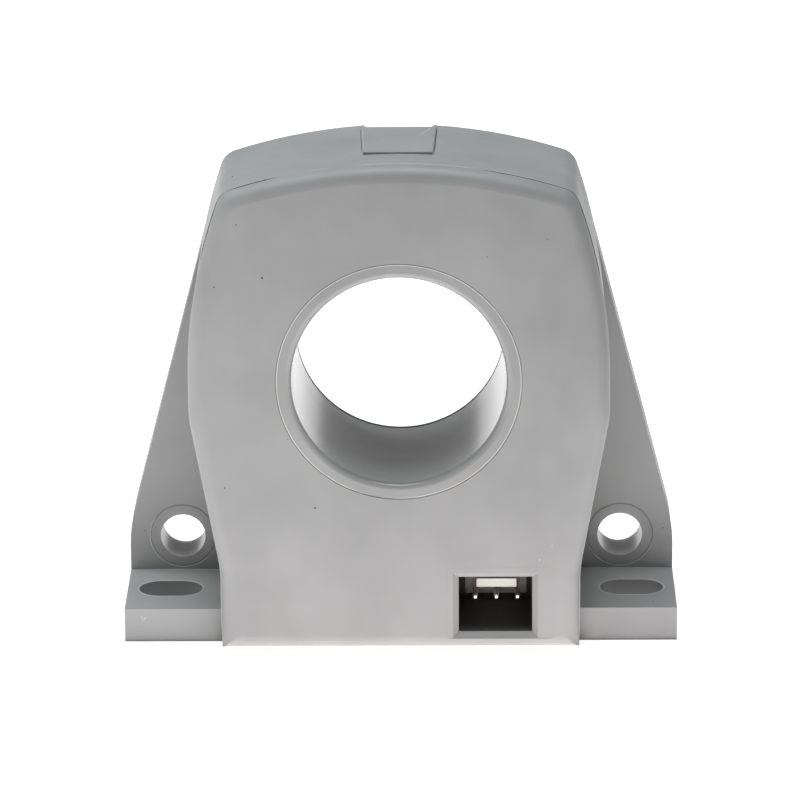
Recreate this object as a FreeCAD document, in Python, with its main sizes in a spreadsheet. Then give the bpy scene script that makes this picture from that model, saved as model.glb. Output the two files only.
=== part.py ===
import FreeCAD, Part

import math
import os

import Sketcher
from FreeCAD import Placement, Rotation, Vector

# Driving dimensions, in millimetres and degrees
# Each row is the name of a size, its value and what it measures.
# The frame: X runs to the right, Y away from the connector side, Z up.
# The origin is on the base, in the middle of the width and of the depth.
SIZES = [
    ("depth", 23.15, "whole depth, front face to the back of the wings"),
    ("base_width", 43.1, "case between the feet"),
    ("side_spread", 3.45, "widest part of the case beyond its base, each side"),
    ("crown_rise", 26.4, "crown of the arched top above the bore axis"),
    ("knee_height", 9.81, "end of the upright sides above the base"),
    ("shoulder_height", 28.985, "end of the leaning lower sides above the base"),
    ("side_radius", 65.0, "barrel curve of the upper sides"),
    ("top_radius", 64.0, "arch of the top"),
    ("top_draft", 1.7, "fall of the top towards the back, degrees"),
    ("top_stock", 2.0, "height of the block over the crown before its top is cut"),
    ("corner_radius", 2.7, "corners between the sides and the top"),
    ("shoulder_radius", 3.0, "edge where the lower sides begin to lean"),
    ("knee_radius", 6.0, "inside bend over the upright sides"),
    ("front_edge_radius", 1.85, "rounding round the front face"),
    ("wall", 1.8, "wall of the case"),
    ("front_wall", 1.8, "front wall of the case"),
    ("bore_diameter", 25.5, "opening for the conductor"),
    ("bore_height", 33.91, "bore axis above the base"),
    ("bore_wall", 1.3, "tube round the bore"),
    ("bore_edge_radius", 0.8, "rounding of the bore at the front"),
    ("bore_ring_diameter", 29.16, "witness ring round the bore"),
    ("ring_groove_width", 0.24, "width of the witness rings"),
    ("ring_groove_depth", 0.1, "depth of the witness rings"),
    ("overall_width", 66.75, "over both feet"),
    ("foot_setback", 3.35, "feet behind the front face"),
    ("foot_thickness", 4.15, "feet above the base"),
    ("slot_edge", 5.25, "middle of the foot slots from the outer edge"),
    ("slot_setback", 10.6, "slots behind the front face"),
    ("slot_length", 7.7, "foot slots across the depth"),
    ("slot_width", 5.2, "foot slots along the depth"),
    ("wing_stand", 1.35, "wings and feet behind the back of the case"),
    ("wing_thickness", 5.6, "wings along the depth"),
    ("wing_knee_height", 9.67, "end of the upright outer edge of the wings"),
    ("wing_top_height", 46.57, "where the wings run into the sides"),
    ("wing_run_in", 2.0, "wing edge carried on inside the case"),
    ("wing_knee_radius", 20.0, "bend in the outer edge of the wings"),
    ("wing_hole_edge", 6.5, "holes of the wings from the outer edge"),
    ("wing_hole_height", 8.52, "holes of the wings above the base"),
    ("wing_hole_diameter", 5.5, "holes of the wings"),
    ("wing_ring_diameter", 8.0, "witness rings round the holes of the wings"),
    ("wing_web", 1.8, "front web of the wings, in front of their hollows"),
    ("wing_rim", 1.9, "outer rim of the wings, round their hollows"),
    ("wing_hollow_floor", 13.47, "hollows of the wings above the base"),
    ("wing_hollow_top_width", 2.5, "width at the top of the hollows of the wings"),
    ("wing_hollow_radius", 0.9, "corners of the hollows of the wings"),
    ("socket_x", 11.43, "middle of the connector from the middle of the case"),
    ("socket_floor", 2.16, "floor of the connector socket above the base"),
    ("socket_width", 8.84, "inside of the connector socket"),
    ("socket_height", 7.0, "inside of the connector socket"),
    ("socket_depth", 12.6, "front face to the back wall of the socket"),
    ("socket_lip", 0.8, "front wall left before the shroud of the socket"),
    ("shroud_wall", 0.7, "walls of the shroud that lines the socket"),
    ("shroud_back_wall", 1.2, "back wall of the shroud"),
    ("shroud_clearance", 0.05, "shroud in its seat in the case, each side"),
    ("socket_chamfer", 0.7, "funnel at the mouth of the socket"),
    ("socket_corner_radius", 0.3, "long corners inside the socket"),
    ("header_x", 11.58, "middle of the pin header from the middle of the case"),
    ("header_width", 7.5, "base of the pin header"),
    ("header_height", 5.0, "base of the pin header"),
    ("header_thickness", 3.2, "base of the pin header, front to board"),
    ("header_clearance", 0.05, "header in its window, each side"),
    ("pin_height", 5.16, "connector pins above the base"),
    ("pin_above_header", 2.45, "pins above the lower edge of the header"),
    ("pin_side", 0.64, "square section of the connector pins"),
    ("pin_pitch", 2.54, "between connector pins"),
    ("pin_setback", 4.5, "pin tips behind the front face"),
    ("pin_tip_chamfer", 0.16, "points of the connector pins"),
    ("pin_tail", 1.3, "pin tails behind the board"),
    ("lock_width", 4.8, "latch bar over the pins"),
    ("lock_thickness", 0.75, "latch bar over the pins"),
    ("lock_hook", 0.3, "nose of the latch bar"),
    ("lock_hook_length", 1.2, "nose of the latch bar"),
    ("lock_setback", 4.0, "end of the latch bar behind the front face"),
    ("arrow_setback", 6.8, "arrow pad behind the front face"),
    ("arrow_front_width", 8.2, "arrow pad at its front edge"),
    ("arrow_back_width", 9.0, "arrow pad at the back of the case"),
    ("arrow_rise", 0.17, "arrow pad over the crown at its front edge"),
    ("arrow_back_sink", 0.05, "arrow pad under the crown at the back of the case"),
    ("arrow_root", 0.8, "arrow pad sunk in the top wall"),
    ("arrow_head_depth", 0.28, "arrow recess under the pad at the back"),
    ("arrow_tip_width", 0.3, "tip of the arrow recess"),
    ("arrow_tip_depth", 0.03, "arrow recess under the pad at its tip"),
    ("arrow_tip_setback", 0.6, "tip of the arrow behind the edge of its pad"),
    ("resin_recess", 0.6, "resin below the rim at the back"),
    ("stack_gap", 0.3, "winding from the front wall and from the board"),
    ("ring_clearance", 0.4, "taped winding from the nearest wall, socket or capacitor"),
    ("tape_thickness", 0.2, "tape round the winding"),
    ("tape_margin", 1.6, "tape in from the flat ends of the winding"),
    ("winding_share", 0.21, "layers of the winding, share of the room between tube and tape"),
    ("winding_corner_share", 0.7, "round corners of the winding, share of its layers"),
    ("winding_gap", 24.0, "part of the turn left free of wire, degrees"),
    ("bobbin_share", 0.1, "walls of the bobbin halves, share of the room between tube and tape"),
    ("bobbin_gap", 12.0, "part of the turn left open in the bobbin, degrees"),
    ("bore_clearance", 0.4, "winding round the bore tube"),
    ("core_clearance", 0.1, "core in its bobbin"),
    ("core_gap", 5.0, "air gap of the core, degrees"),
    ("board_thickness", 1.6, "circuit board"),
    ("board_clearance", 0.4, "circuit board in the case and round the tube"),
    ("board_top", 26.5, "upper edge of the circuit board"),
    ("hall_width", 1.2, "field probe across the gap of the core"),
    ("hall_height", 3.6, "field probe along the radius"),
    ("hall_depth", 3.2, "field probe along the bore"),
    ("hall_lead_pitch", 1.0, "leads of the field probe"),
    ("lead_side", 0.4, "square leads of the parts on the board"),
    ("lead_tail", 1.0, "leads behind the board"),
    ("winding_lead_diameter", 0.6, "two ends of the winding"),
    ("winding_lead_angle", 14.0, "ends of the winding from the gap, degrees"),
    ("capacitor_diameter", 5.0, "supply capacitors"),
    ("capacitor_length", 7.0, "supply capacitors"),
    ("capacitor_height", 6.3, "supply capacitors above the base"),
    ("capacitor_first_x", 1.6, "first supply capacitor, left of the middle"),
    ("capacitor_pitch", 6.4, "between the supply capacitors"),
    ("capacitor_lead_pitch", 2.0, "leads of the supply capacitors"),
    ("transistor_width", 6.5, "output transistors"),
    ("transistor_height", 6.1, "output transistors"),
    ("transistor_thickness", 2.3, "output transistors"),
    ("transistor_tab", 1.2, "cooling tab over each output transistor"),
    ("transistor_foot", 2.4, "legs under each output transistor"),
    ("transistor_edge", 4.15, "middle of the output transistors from the edge of the board"),
    ("transistor_base", 14.6, "output transistors above the base"),
    ("amplifier_width", 4.9, "amplifier chip"),
    ("amplifier_height", 3.9, "amplifier chip"),
    ("amplifier_thickness", 1.5, "amplifier chip"),
    ("amplifier_x", 4.5, "amplifier chip, left of the middle"),
    ("amplifier_z", 10.0, "amplifier chip above the base"),
    ("amplifier_lead_pitch", 1.27, "legs of the amplifier chip"),
    ("amplifier_span", 6.0, "over the legs of the amplifier chip"),
    ("diode_width", 4.3, "clamp diodes"),
    ("diode_height", 2.6, "clamp diodes"),
    ("diode_thickness", 2.0, "clamp diodes"),
    ("diode_x", 12.2, "clamp diodes, right of the middle"),
    ("diode_first_z", 7.4, "lower clamp diode above the base"),
    ("diode_pitch", 3.2, "between the clamp diodes"),
    ("resistor_width", 3.2, "chip resistors"),
    ("resistor_height", 1.6, "chip resistors"),
    ("resistor_thickness", 0.6, "chip resistors"),
    ("resistor_x", 13.6, "chip resistors, left of the middle"),
    ("resistor_first_z", 4.2, "lowest chip resistor above the base"),
    ("resistor_pitch", 2.3, "between the chip resistors"),
]

PINS = 3
HALL_LEADS = 4
CAPACITORS = 2
DIODES = 2
RESISTORS = 4
AMPLIFIER_LEADS_PER_SIDE = 4
SIDES = (-1, 1)
TOLERANCE = 1e-4
EDGE_MARGIN = 1.0

doc = FreeCAD.newDocument("current_sensor")
sheet = doc.addObject("Spreadsheet::Sheet", "sizes")
for row, (alias, amount, note) in enumerate(SIZES, start=1):
    sheet.set(f"A{row}", note)
    sheet.set(f"B{row}", str(amount))
    sheet.setAlias(f"B{row}", alias)
doc.recompute()

# Places that several pieces share, as formulas of the sheet
FRONT = "(-sizes.depth / 2)"
WING_BACK = "(sizes.depth / 2)"
WING_FRONT = f"({WING_BACK} - sizes.wing_thickness)"
BACK = f"({WING_BACK} - sizes.wing_stand)"
BODY_WIDTH = "(sizes.base_width + 2 * sizes.side_spread)"
CROWN = "(sizes.bore_height + sizes.crown_rise)"
SIDE_RUN = "(sizes.shoulder_height - sizes.knee_height)"
SIDE_SLOPE = f"(sizes.side_spread / {SIDE_RUN})"
TOP_FALL = "((sizes.depth - sizes.wing_stand) * tan(sizes.top_draft * 1 deg))"
FRONT_INSIDE = f"({FRONT} + sizes.front_wall)"
RESIN_BACK = f"({BACK} - sizes.resin_recess)"
WING_HOLE_X = "(sizes.overall_width / 2 - sizes.wing_hole_edge)"
BORE_RADIUS = "(sizes.bore_diameter / 2)"
TUBE_RADIUS = f"({BORE_RADIUS} + sizes.bore_wall)"
HEADER_FRONT = f"({FRONT} + sizes.socket_depth)"
BOARD_FRONT = f"({HEADER_FRONT} + sizes.header_thickness)"
BOARD_BACK = f"({BOARD_FRONT} + sizes.board_thickness)"
BOARD_HALF = "(sizes.base_width / 2 - sizes.wall - sizes.board_clearance)"
TRANSISTOR_X = f"({BOARD_HALF} - sizes.transistor_edge)"
SHROUD_FRONT = f"({FRONT} + sizes.socket_lip)"
SHROUD_BACK = f"({HEADER_FRONT} + sizes.shroud_back_wall)"
HEADER_FLOOR = "(sizes.pin_height - sizes.pin_above_header)"
STACK_FRONT = f"({FRONT_INSIDE} + sizes.stack_gap)"
STACK_BACK = f"({BOARD_FRONT} - sizes.stack_gap)"
STACK_MIDDLE = f"(({STACK_FRONT} + {STACK_BACK}) / 2)"
SIDE_ROOM = f"({BODY_WIDTH} / 2 - sizes.wall)"
TOP_ROOM = f"(sizes.crown_rise - {TOP_FALL} - sizes.wall)"
SHROUD_LEFT = "(sizes.socket_x - sizes.socket_width / 2 - sizes.shroud_wall)"
SHROUD_TOP = "(sizes.socket_floor + sizes.socket_height + sizes.shroud_wall)"
SOCKET_ROOM = f"sqrt({SHROUD_LEFT} ^ 2 + (sizes.bore_height - {SHROUD_TOP}) ^ 2)"
CAPACITOR_ROOM = "(sizes.bore_height - sizes.capacitor_height - sizes.capacitor_diameter / 2)"
TAPE_RADIUS = f"(min({SIDE_ROOM}; {TOP_ROOM}; {SOCKET_ROOM}; {CAPACITOR_ROOM}) - sizes.ring_clearance)"
WINDING_INNER = f"({TUBE_RADIUS} + sizes.bore_clearance)"
WINDING_OUTER = f"({TAPE_RADIUS} - sizes.tape_thickness)"
WINDING_LAYER = f"(sizes.winding_share * ({WINDING_OUTER} - {WINDING_INNER}))"
BOBBIN_WALL = f"(sizes.bobbin_share * ({WINDING_OUTER} - {WINDING_INNER}))"
BOBBIN_INNER = f"({WINDING_INNER} + {WINDING_LAYER})"
BOBBIN_OUTER = f"({WINDING_OUTER} - {WINDING_LAYER})"
BOBBIN_FRONT = f"({STACK_FRONT} + {WINDING_LAYER})"
BOBBIN_BACK = f"({STACK_BACK} - {WINDING_LAYER})"
CORE_INNER = f"({BOBBIN_INNER} + {BOBBIN_WALL} + sizes.core_clearance)"
CORE_OUTER = f"({BOBBIN_OUTER} - {BOBBIN_WALL} - sizes.core_clearance)"
CORE_FRONT = f"({BOBBIN_FRONT} + {BOBBIN_WALL} + sizes.core_clearance)"
CORE_BACK = f"({BOBBIN_BACK} - {BOBBIN_WALL} - sizes.core_clearance)"
CORE_MIDDLE = f"(({CORE_INNER} + {CORE_OUTER}) / 2)"


def amount_of(formula):
    """Number that a formula of the sheet gives now."""
    result = sheet.evalExpression(str(formula))
    return float(getattr(result, "Value", result))


def bind(thing, formulas):
    """Ties properties of an object to formulas of the sheet."""
    for name, formula in formulas.items():
        thing.setExpression(name, str(formula))


def new_body(label):
    """Empty body of one sub-part."""
    body = doc.addObject("PartDesign::Body", label)
    body.Label = label
    return body


def new_sketch(body, label, role, offset):
    """Sketch on one of the body's own origin planes, moved by three formulas."""
    plane = next(item for item in body.Origin.OriginFeatures if item.Role == role)
    sketch = body.newObject("Sketcher::SketchObject", label)
    sketch.AttachmentSupport = [(plane, "")]
    sketch.MapMode = "FlatFace"
    names = ("AttachmentOffset.Base.x", "AttachmentOffset.Base.y", "AttachmentOffset.Base.z")
    bind(sketch, dict(zip(names, offset)))
    return sketch


def front_sketch(body, label, y):
    """Sketch parallel to the front face: its axes are X and Z, its normal is -Y."""
    return new_sketch(body, label, "XZ_Plane", ("0", "0", f"-({y})"))


def side_sketch(body, label, x, z="0"):
    """Sketch across the width: its axes are Y and Z, its normal is X."""
    return new_sketch(body, label, "YZ_Plane", ("0", z, x))


def plan_sketch(body, label, z):
    """Sketch seen from above: its axes are X and Y, its normal is Z."""
    return new_sketch(body, label, "XY_Plane", ("0", "0", z))


def pin_point(sketch, curve, end, place):
    """Ties a point of the sketch to two formulas."""
    for kind, formula in zip(("DistanceX", "DistanceY"), place):
        if formula is None:
            continue
        index = sketch.addConstraint(Sketcher.Constraint(kind, -1, 1, curve, end, amount_of(formula)))
        sketch.setExpression(f"Constraints[{index}]", str(formula))


def set_radius(sketch, curve, formula):
    """Ties the radius of an arc or circle to a formula."""
    index = sketch.addConstraint(Sketcher.Constraint("Radius", curve, amount_of(formula)))
    sketch.setExpression(f"Constraints[{index}]", str(formula))


def add_polygon(sketch, places):
    """Closed run of straight lines through places given as formulas."""
    points = [Vector(amount_of(x), amount_of(y), 0) for x, y in places]
    count = len(points)
    lines = []
    for index, point in enumerate(points):
        segment = Part.LineSegment(point, points[(index + 1) % count])
        lines.append(sketch.addGeometry(segment, False))
    for index, line in enumerate(lines):
        following = lines[(index + 1) % count]
        sketch.addConstraint(Sketcher.Constraint("Coincident", line, 2, following, 1))
        pin_point(sketch, line, 1, places[index])
    return lines


def add_rectangle(sketch, left, right, bottom, top):
    """Rectangle between four formulas."""
    return add_polygon(sketch, [(left, bottom), (right, bottom), (right, top), (left, top)])


def add_circle(sketch, x, y, radius):
    """Circle given by three formulas."""
    centre = Vector(amount_of(x), amount_of(y), 0)
    circle = sketch.addGeometry(Part.Circle(centre, Vector(0, 0, 1), amount_of(radius)), False)
    pin_point(sketch, circle, 3, (x, y))
    set_radius(sketch, circle, radius)


def add_slot(sketch, x, y, length, width):
    """Round-ended slot along the sketch's own X axis."""
    reach = f"(({length}) - ({width})) / 2"
    middle = Vector(amount_of(x), amount_of(y), 0)
    half = amount_of(reach)
    radius = amount_of(f"({width}) / 2")
    quarter = math.pi / 2
    right = Part.Circle(middle + Vector(half, 0, 0), Vector(0, 0, 1), radius)
    left = Part.Circle(middle - Vector(half, 0, 0), Vector(0, 0, 1), radius)
    right_arc = sketch.addGeometry(Part.ArcOfCircle(right, -quarter, quarter), False)
    left_arc = sketch.addGeometry(Part.ArcOfCircle(left, quarter, 3 * quarter), False)
    upper = Part.LineSegment(middle + Vector(half, radius, 0), middle + Vector(-half, radius, 0))
    lower = Part.LineSegment(middle + Vector(-half, -radius, 0), middle + Vector(half, -radius, 0))
    upper_line = sketch.addGeometry(upper, False)
    lower_line = sketch.addGeometry(lower, False)
    sketch.addConstraint(Sketcher.Constraint("Tangent", right_arc, 2, upper_line, 1))
    sketch.addConstraint(Sketcher.Constraint("Tangent", upper_line, 2, left_arc, 1))
    sketch.addConstraint(Sketcher.Constraint("Tangent", left_arc, 2, lower_line, 1))
    sketch.addConstraint(Sketcher.Constraint("Tangent", lower_line, 2, right_arc, 1))
    pin_point(sketch, right_arc, 3, (f"({x}) + {reach}", y))
    pin_point(sketch, left_arc, 3, (f"({x}) - {reach}", y))
    set_radius(sketch, right_arc, f"({width}) / 2")


def add_case_outline(sketch, inset, rise):
    """Front outline of the case, drawn in by an inset, its top moved by a rise.

    Upright lower sides, sides that lean out to the widest part, an upright
    stretch up to the bore's height, barrel arcs above it and an arched top.
    """
    gap = amount_of(inset)
    base_half = f"(sizes.base_width / 2 - {inset})"
    side_half = f"({BODY_WIDTH} / 2 - {inset})"
    knee = f"(sizes.knee_height + {inset} * tan(atan({SIDE_SLOPE}) / 2))"
    shoulder = f"({knee} + {SIDE_RUN})"
    side_middle = f"{BODY_WIDTH} / 2 - sizes.side_radius"
    side_centre = Vector(amount_of(side_middle), amount_of("sizes.bore_height"), 0)
    side_reach = amount_of("sizes.side_radius") - gap
    top_height = f"{CROWN} - sizes.top_radius + {rise}"
    top_centre = Vector(0, amount_of(top_height), 0)
    top_reach = amount_of("sizes.top_radius") - gap
    between = top_centre - side_centre
    along = (side_reach ** 2 - top_reach ** 2 + between.Length ** 2) / (2 * between.Length)
    across = math.sqrt(side_reach ** 2 - along ** 2)
    ahead = Vector(between).normalize()
    aside = Vector(-ahead.y, ahead.x, 0)
    corner = side_centre + ahead * along + aside * across
    places = [(base_half, inset), (base_half, knee),
              (side_half, shoulder), (side_half, "sizes.bore_height")]
    points = [Vector(amount_of(x), amount_of(z), 0) for x, z in places]
    mirrored = [Vector(-point.x, point.y, 0) for point in points]
    normal = Vector(0, 0, 1)
    turn = math.atan2(corner.y - side_centre.y, corner.x - side_centre.x)
    corner_turn = math.atan2(corner.y - top_centre.y, corner.x - top_centre.x)
    left_centre = Vector(-side_centre.x, side_centre.y, 0)
    bottom = sketch.addGeometry(Part.LineSegment(mirrored[0], points[0]), False)
    rising = [Part.LineSegment(points[step], points[step + 1]) for step in range(3)]
    falling = [Part.LineSegment(mirrored[3 - step], mirrored[2 - step]) for step in range(3)]
    right = [sketch.addGeometry(line, False) for line in rising]
    right_circle = Part.Circle(side_centre, normal, side_reach)
    right_arc = sketch.addGeometry(Part.ArcOfCircle(right_circle, 0, turn), False)
    top_circle = Part.Circle(top_centre, normal, top_reach)
    top_arc = sketch.addGeometry(Part.ArcOfCircle(top_circle, corner_turn, math.pi - corner_turn), False)
    left_circle = Part.Circle(left_centre, normal, side_reach)
    left_arc = sketch.addGeometry(Part.ArcOfCircle(left_circle, math.pi - turn, math.pi), False)
    left = [sketch.addGeometry(line, False) for line in falling]
    chain = [bottom, *right, right_arc, top_arc, left_arc, *left]
    for curve, following in zip(chain, chain[1:] + chain[:1]):
        sketch.addConstraint(Sketcher.Constraint("Coincident", curve, 2, following, 1))
    pin_point(sketch, bottom, 1, (f"-{base_half}", inset))
    pin_point(sketch, bottom, 2, (base_half, inset))
    for line, place in zip(right, places[1:]):
        pin_point(sketch, line, 2, place)
    for line, (x, z) in zip(left, reversed(places)):
        pin_point(sketch, line, 1, (f"-{x}", z))
    for arc, middle in ((right_arc, side_middle), (left_arc, f"-({side_middle})")):
        pin_point(sketch, arc, 3, (middle, "sizes.bore_height"))
    pin_point(sketch, top_arc, 3, ("0", top_height))
    set_radius(sketch, top_arc, f"sizes.top_radius - {inset}")


def extrude(body, kind, label, sketch, length, backwards=False, midplane=False):
    """Pad or pocket of a sketch, which must change the volume."""
    doc.recompute()
    before = body.Shape.Volume if body.Tip else 0.0
    feature = body.newObject(f"PartDesign::{kind}", label)
    feature.Profile = sketch
    if length is None:
        feature.Type = "ThroughAll"
    else:
        feature.Length = amount_of(length)
        bind(feature, {"Length": length})
    feature.Reversed = backwards
    feature.Midplane = midplane
    sketch.Visibility = False
    doc.recompute()
    change = body.Shape.Volume - before
    expected = change > TOLERANCE if kind == "Pad" else change < -TOLERANCE
    if not expected:
        raise RuntimeError(f"{label} does not change its body: {change}")
    return feature


def turn_profile(body, kind, label, sketch, angle):
    """Revolution or groove of a sketch about its own X axis, even about the top."""
    feature = body.newObject(f"PartDesign::{kind}", label)
    feature.Profile = sketch
    feature.ReferenceAxis = (sketch, ["H_Axis"])
    feature.Angle = amount_of(angle)
    bind(feature, {"Angle": angle})
    feature.Midplane = True
    sketch.Visibility = False
    doc.recompute()
    return feature


def edges_where(shape, wanted):
    """Names of the edges of a shape that pass a test."""
    return [f"Edge{index}" for index, edge in enumerate(shape.Edges, start=1) if wanted(edge)]


def dress(body, kind, label, wanted, size, formula):
    """Fillet or chamfer of the edges that pass a test."""
    doc.recompute()
    base = body.Tip
    names = edges_where(base.Shape, wanted)
    if not names:
        raise RuntimeError(f"{label} found no edge")
    feature = body.newObject(f"PartDesign::{kind}", label)
    feature.Base = (base, names)
    setattr(feature, size, amount_of(formula))
    bind(feature, {size: formula})
    doc.recompute()
    return feature


def near(first, second):
    """Whether two lengths are the same."""
    return abs(first - second) < 1e-3


def runs_along_depth(edge):
    """Whether an edge is a straight line parallel to the bore."""
    if not isinstance(edge.Curve, Part.Line):
        return False
    return abs(edge.tangentAt(edge.FirstParameter).y) > 1 - TOLERANCE


def box_piece(label, low, size):
    """Rectangular block from its low corner and its three lengths."""
    block = doc.addObject("Part::Box", label)
    block.Label = label
    for name, formula in zip(("Placement.Base.x", "Placement.Base.y", "Placement.Base.z"), low):
        block.setExpression(name, str(formula))
    for name, formula in zip(("Length", "Width", "Height"), size):
        block.setExpression(name, str(formula))
    return block


def rod_piece(label, centre, radius, length):
    """Round rod along the bore's direction, from its front end."""
    rod = doc.addObject("Part::Cylinder", label)
    rod.Label = label
    rod.Placement = Placement(Vector(0, 0, 0), Rotation(Vector(1, 0, 0), -90))
    bind(rod, {"Radius": radius, "Height": length})
    for name, formula in zip(("Placement.Base.x", "Placement.Base.y", "Placement.Base.z"), centre):
        rod.setExpression(name, str(formula))
    return rod


def fuse(label, pieces):
    """One solid from several that overlap or touch."""
    joined = doc.addObject("Part::MultiFuse", label)
    joined.Label = label
    joined.Shapes = pieces
    joined.Refine = True
    return joined


# The housing, one moulding: case, bore tube, wings, feet, socket and arrow pad
def make_case_block(body):
    """Outer form of the case: barrel outline, falling top, rounded edges."""
    outline = front_sketch(body, "case_outline", FRONT)
    add_case_outline(outline, "0", "sizes.top_stock")
    extrude(body, "Pad", "case_block", outline, "sizes.depth - sizes.wing_stand", backwards=True)
    front = amount_of(FRONT)
    make_falling_top(body)
    corner_height = amount_of("sizes.wing_top_height")
    dress(body, "Fillet", "top_corners",
          lambda edge: is_outline_edge(edge, front) and edge.CenterOfMass.z > corner_height,
          "Radius", "sizes.corner_radius")
    shoulder_low = amount_of("sizes.knee_height") + EDGE_MARGIN
    shoulder_high = amount_of("sizes.bore_height") - EDGE_MARGIN
    dress(body, "Fillet", "shoulders",
          lambda edge: runs_along_depth(edge) and shoulder_low < edge.CenterOfMass.z < shoulder_high,
          "Radius", "sizes.shoulder_radius")
    knee = amount_of("sizes.knee_height")
    dress(body, "Fillet", "knees",
          lambda edge: runs_along_depth(edge) and near(edge.CenterOfMass.z, knee),
          "Radius", "sizes.knee_radius")
    dress(body, "Fillet", "front_edge",
          lambda edge: near(edge.BoundBox.YMax, front),
          "Radius", "sizes.front_edge_radius")


def make_falling_top(body):
    """Arch of the top, cut along a line that falls towards the back."""
    arch = front_sketch(body, "top_arch", FRONT)
    fall = Rotation(Vector(-1, 0, 0), amount_of("sizes.top_draft"))
    arch.AttachmentOffset = Placement(Vector(0, 0, 0), fall)
    bind(arch, {"AttachmentOffset.Base.y": CROWN,
                "AttachmentOffset.Rotation.Angle": "sizes.top_draft"})
    radius = amount_of("sizes.top_radius")
    reach = amount_of(BODY_WIDTH) / 2
    drop = math.sqrt(radius ** 2 - reach ** 2) - radius
    ceiling = amount_of("2 * sizes.top_stock")
    turn = math.atan2(drop + radius, reach)
    circle = Part.Circle(Vector(0, -radius, 0), Vector(0, 0, 1), radius)
    arc = arch.addGeometry(Part.ArcOfCircle(circle, turn, math.pi - turn), False)
    places = ((-reach, drop), (-reach, ceiling), (reach, ceiling), (reach, drop))
    corners = [Vector(x, z, 0) for x, z in places]
    segments = [Part.LineSegment(first, second) for first, second in zip(corners, corners[1:])]
    lines = [arch.addGeometry(segment, False) for segment in segments]
    chain = [arc, *lines]
    for curve, following in zip(chain, chain[1:] + chain[:1]):
        arch.addConstraint(Sketcher.Constraint("Coincident", curve, 2, following, 1))
    pin_point(arch, arc, 3, ("0", "-sizes.top_radius"))
    set_radius(arch, arc, "sizes.top_radius")
    pin_point(arch, lines[0], 1, (f"-{BODY_WIDTH} / 2", None))
    pin_point(arch, lines[1], 1, (f"-{BODY_WIDTH} / 2", "2 * sizes.top_stock"))
    pin_point(arch, lines[2], 1, (f"{BODY_WIDTH} / 2", "2 * sizes.top_stock"))
    pin_point(arch, lines[2], 2, (f"{BODY_WIDTH} / 2", None))
    extrude(body, "Pocket", "falling_top", arch, "3 * sizes.depth", midplane=True)


def is_outline_edge(edge, front):
    """Whether an edge runs from the front face to the back."""
    return near(edge.BoundBox.YMin, front) and edge.BoundBox.YLength > amount_of("sizes.depth") / 2


def make_wings(body):
    """Two sloping wings at the back and the feet under them."""
    wings = front_sketch(body, "wing_outlines", WING_BACK)
    fall = "(sizes.wing_top_height - sizes.bore_height)"
    side_at_top = (f"({BODY_WIDTH} / 2 - sizes.side_radius + "
                   f"sqrt(sizes.side_radius ^ 2 - {fall} ^ 2))")
    slope = (f"((sizes.overall_width / 2 - {side_at_top}) / "
             f"(sizes.wing_top_height - sizes.wing_knee_height))")
    outer = "sizes.overall_width / 2"
    root = "(sizes.base_width / 2 - sizes.wall)"
    tip = f"({side_at_top} - sizes.wing_run_in * {slope})"
    tip_height = "(sizes.wing_top_height + sizes.wing_run_in)"
    for side in SIDES:
        add_polygon(wings, [(f"{side} * {root}", "0"), (f"{side} * {outer}", "0"),
                            (f"{side} * {outer}", "sizes.wing_knee_height"),
                            (f"{side} * {tip}", tip_height), (f"{side} * {root}", tip_height)])
    extrude(body, "Pad", "wings", wings, "sizes.wing_thickness")
    knee = amount_of("sizes.wing_knee_height")
    edge_x = amount_of("sizes.overall_width") / 2
    dress(body, "Fillet", "wing_knees",
          lambda edge: (runs_along_depth(edge) and near(abs(edge.CenterOfMass.x), edge_x)
                        and near(edge.CenterOfMass.z, knee)),
          "Radius", "sizes.wing_knee_radius")
    feet = plan_sketch(body, "foot_outlines", "0")
    for side in SIDES:
        add_rectangle(feet, f"{side} * {root}", f"{side} * {outer}",
                      f"{FRONT} + sizes.foot_setback", WING_BACK)
    extrude(body, "Pad", "feet", feet, "sizes.foot_thickness")
    slots = plan_sketch(body, "slot_outlines", "0")
    for side in SIDES:
        middle = f"{side} * (sizes.overall_width / 2 - sizes.slot_edge)"
        add_slot(slots, middle, f"{FRONT} + sizes.slot_setback", "sizes.slot_length", "sizes.slot_width")
    extrude(body, "Pocket", "foot_slots", slots, None, backwards=True)
    holes = front_sketch(body, "wing_hole_outlines", WING_BACK)
    for side in SIDES:
        add_circle(holes, f"{side} * {WING_HOLE_X}", "sizes.wing_hole_height",
                   "sizes.wing_hole_diameter / 2")
    extrude(body, "Pocket", "wing_holes", holes, None, backwards=True)
    make_wing_hollows(body, slope)


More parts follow.
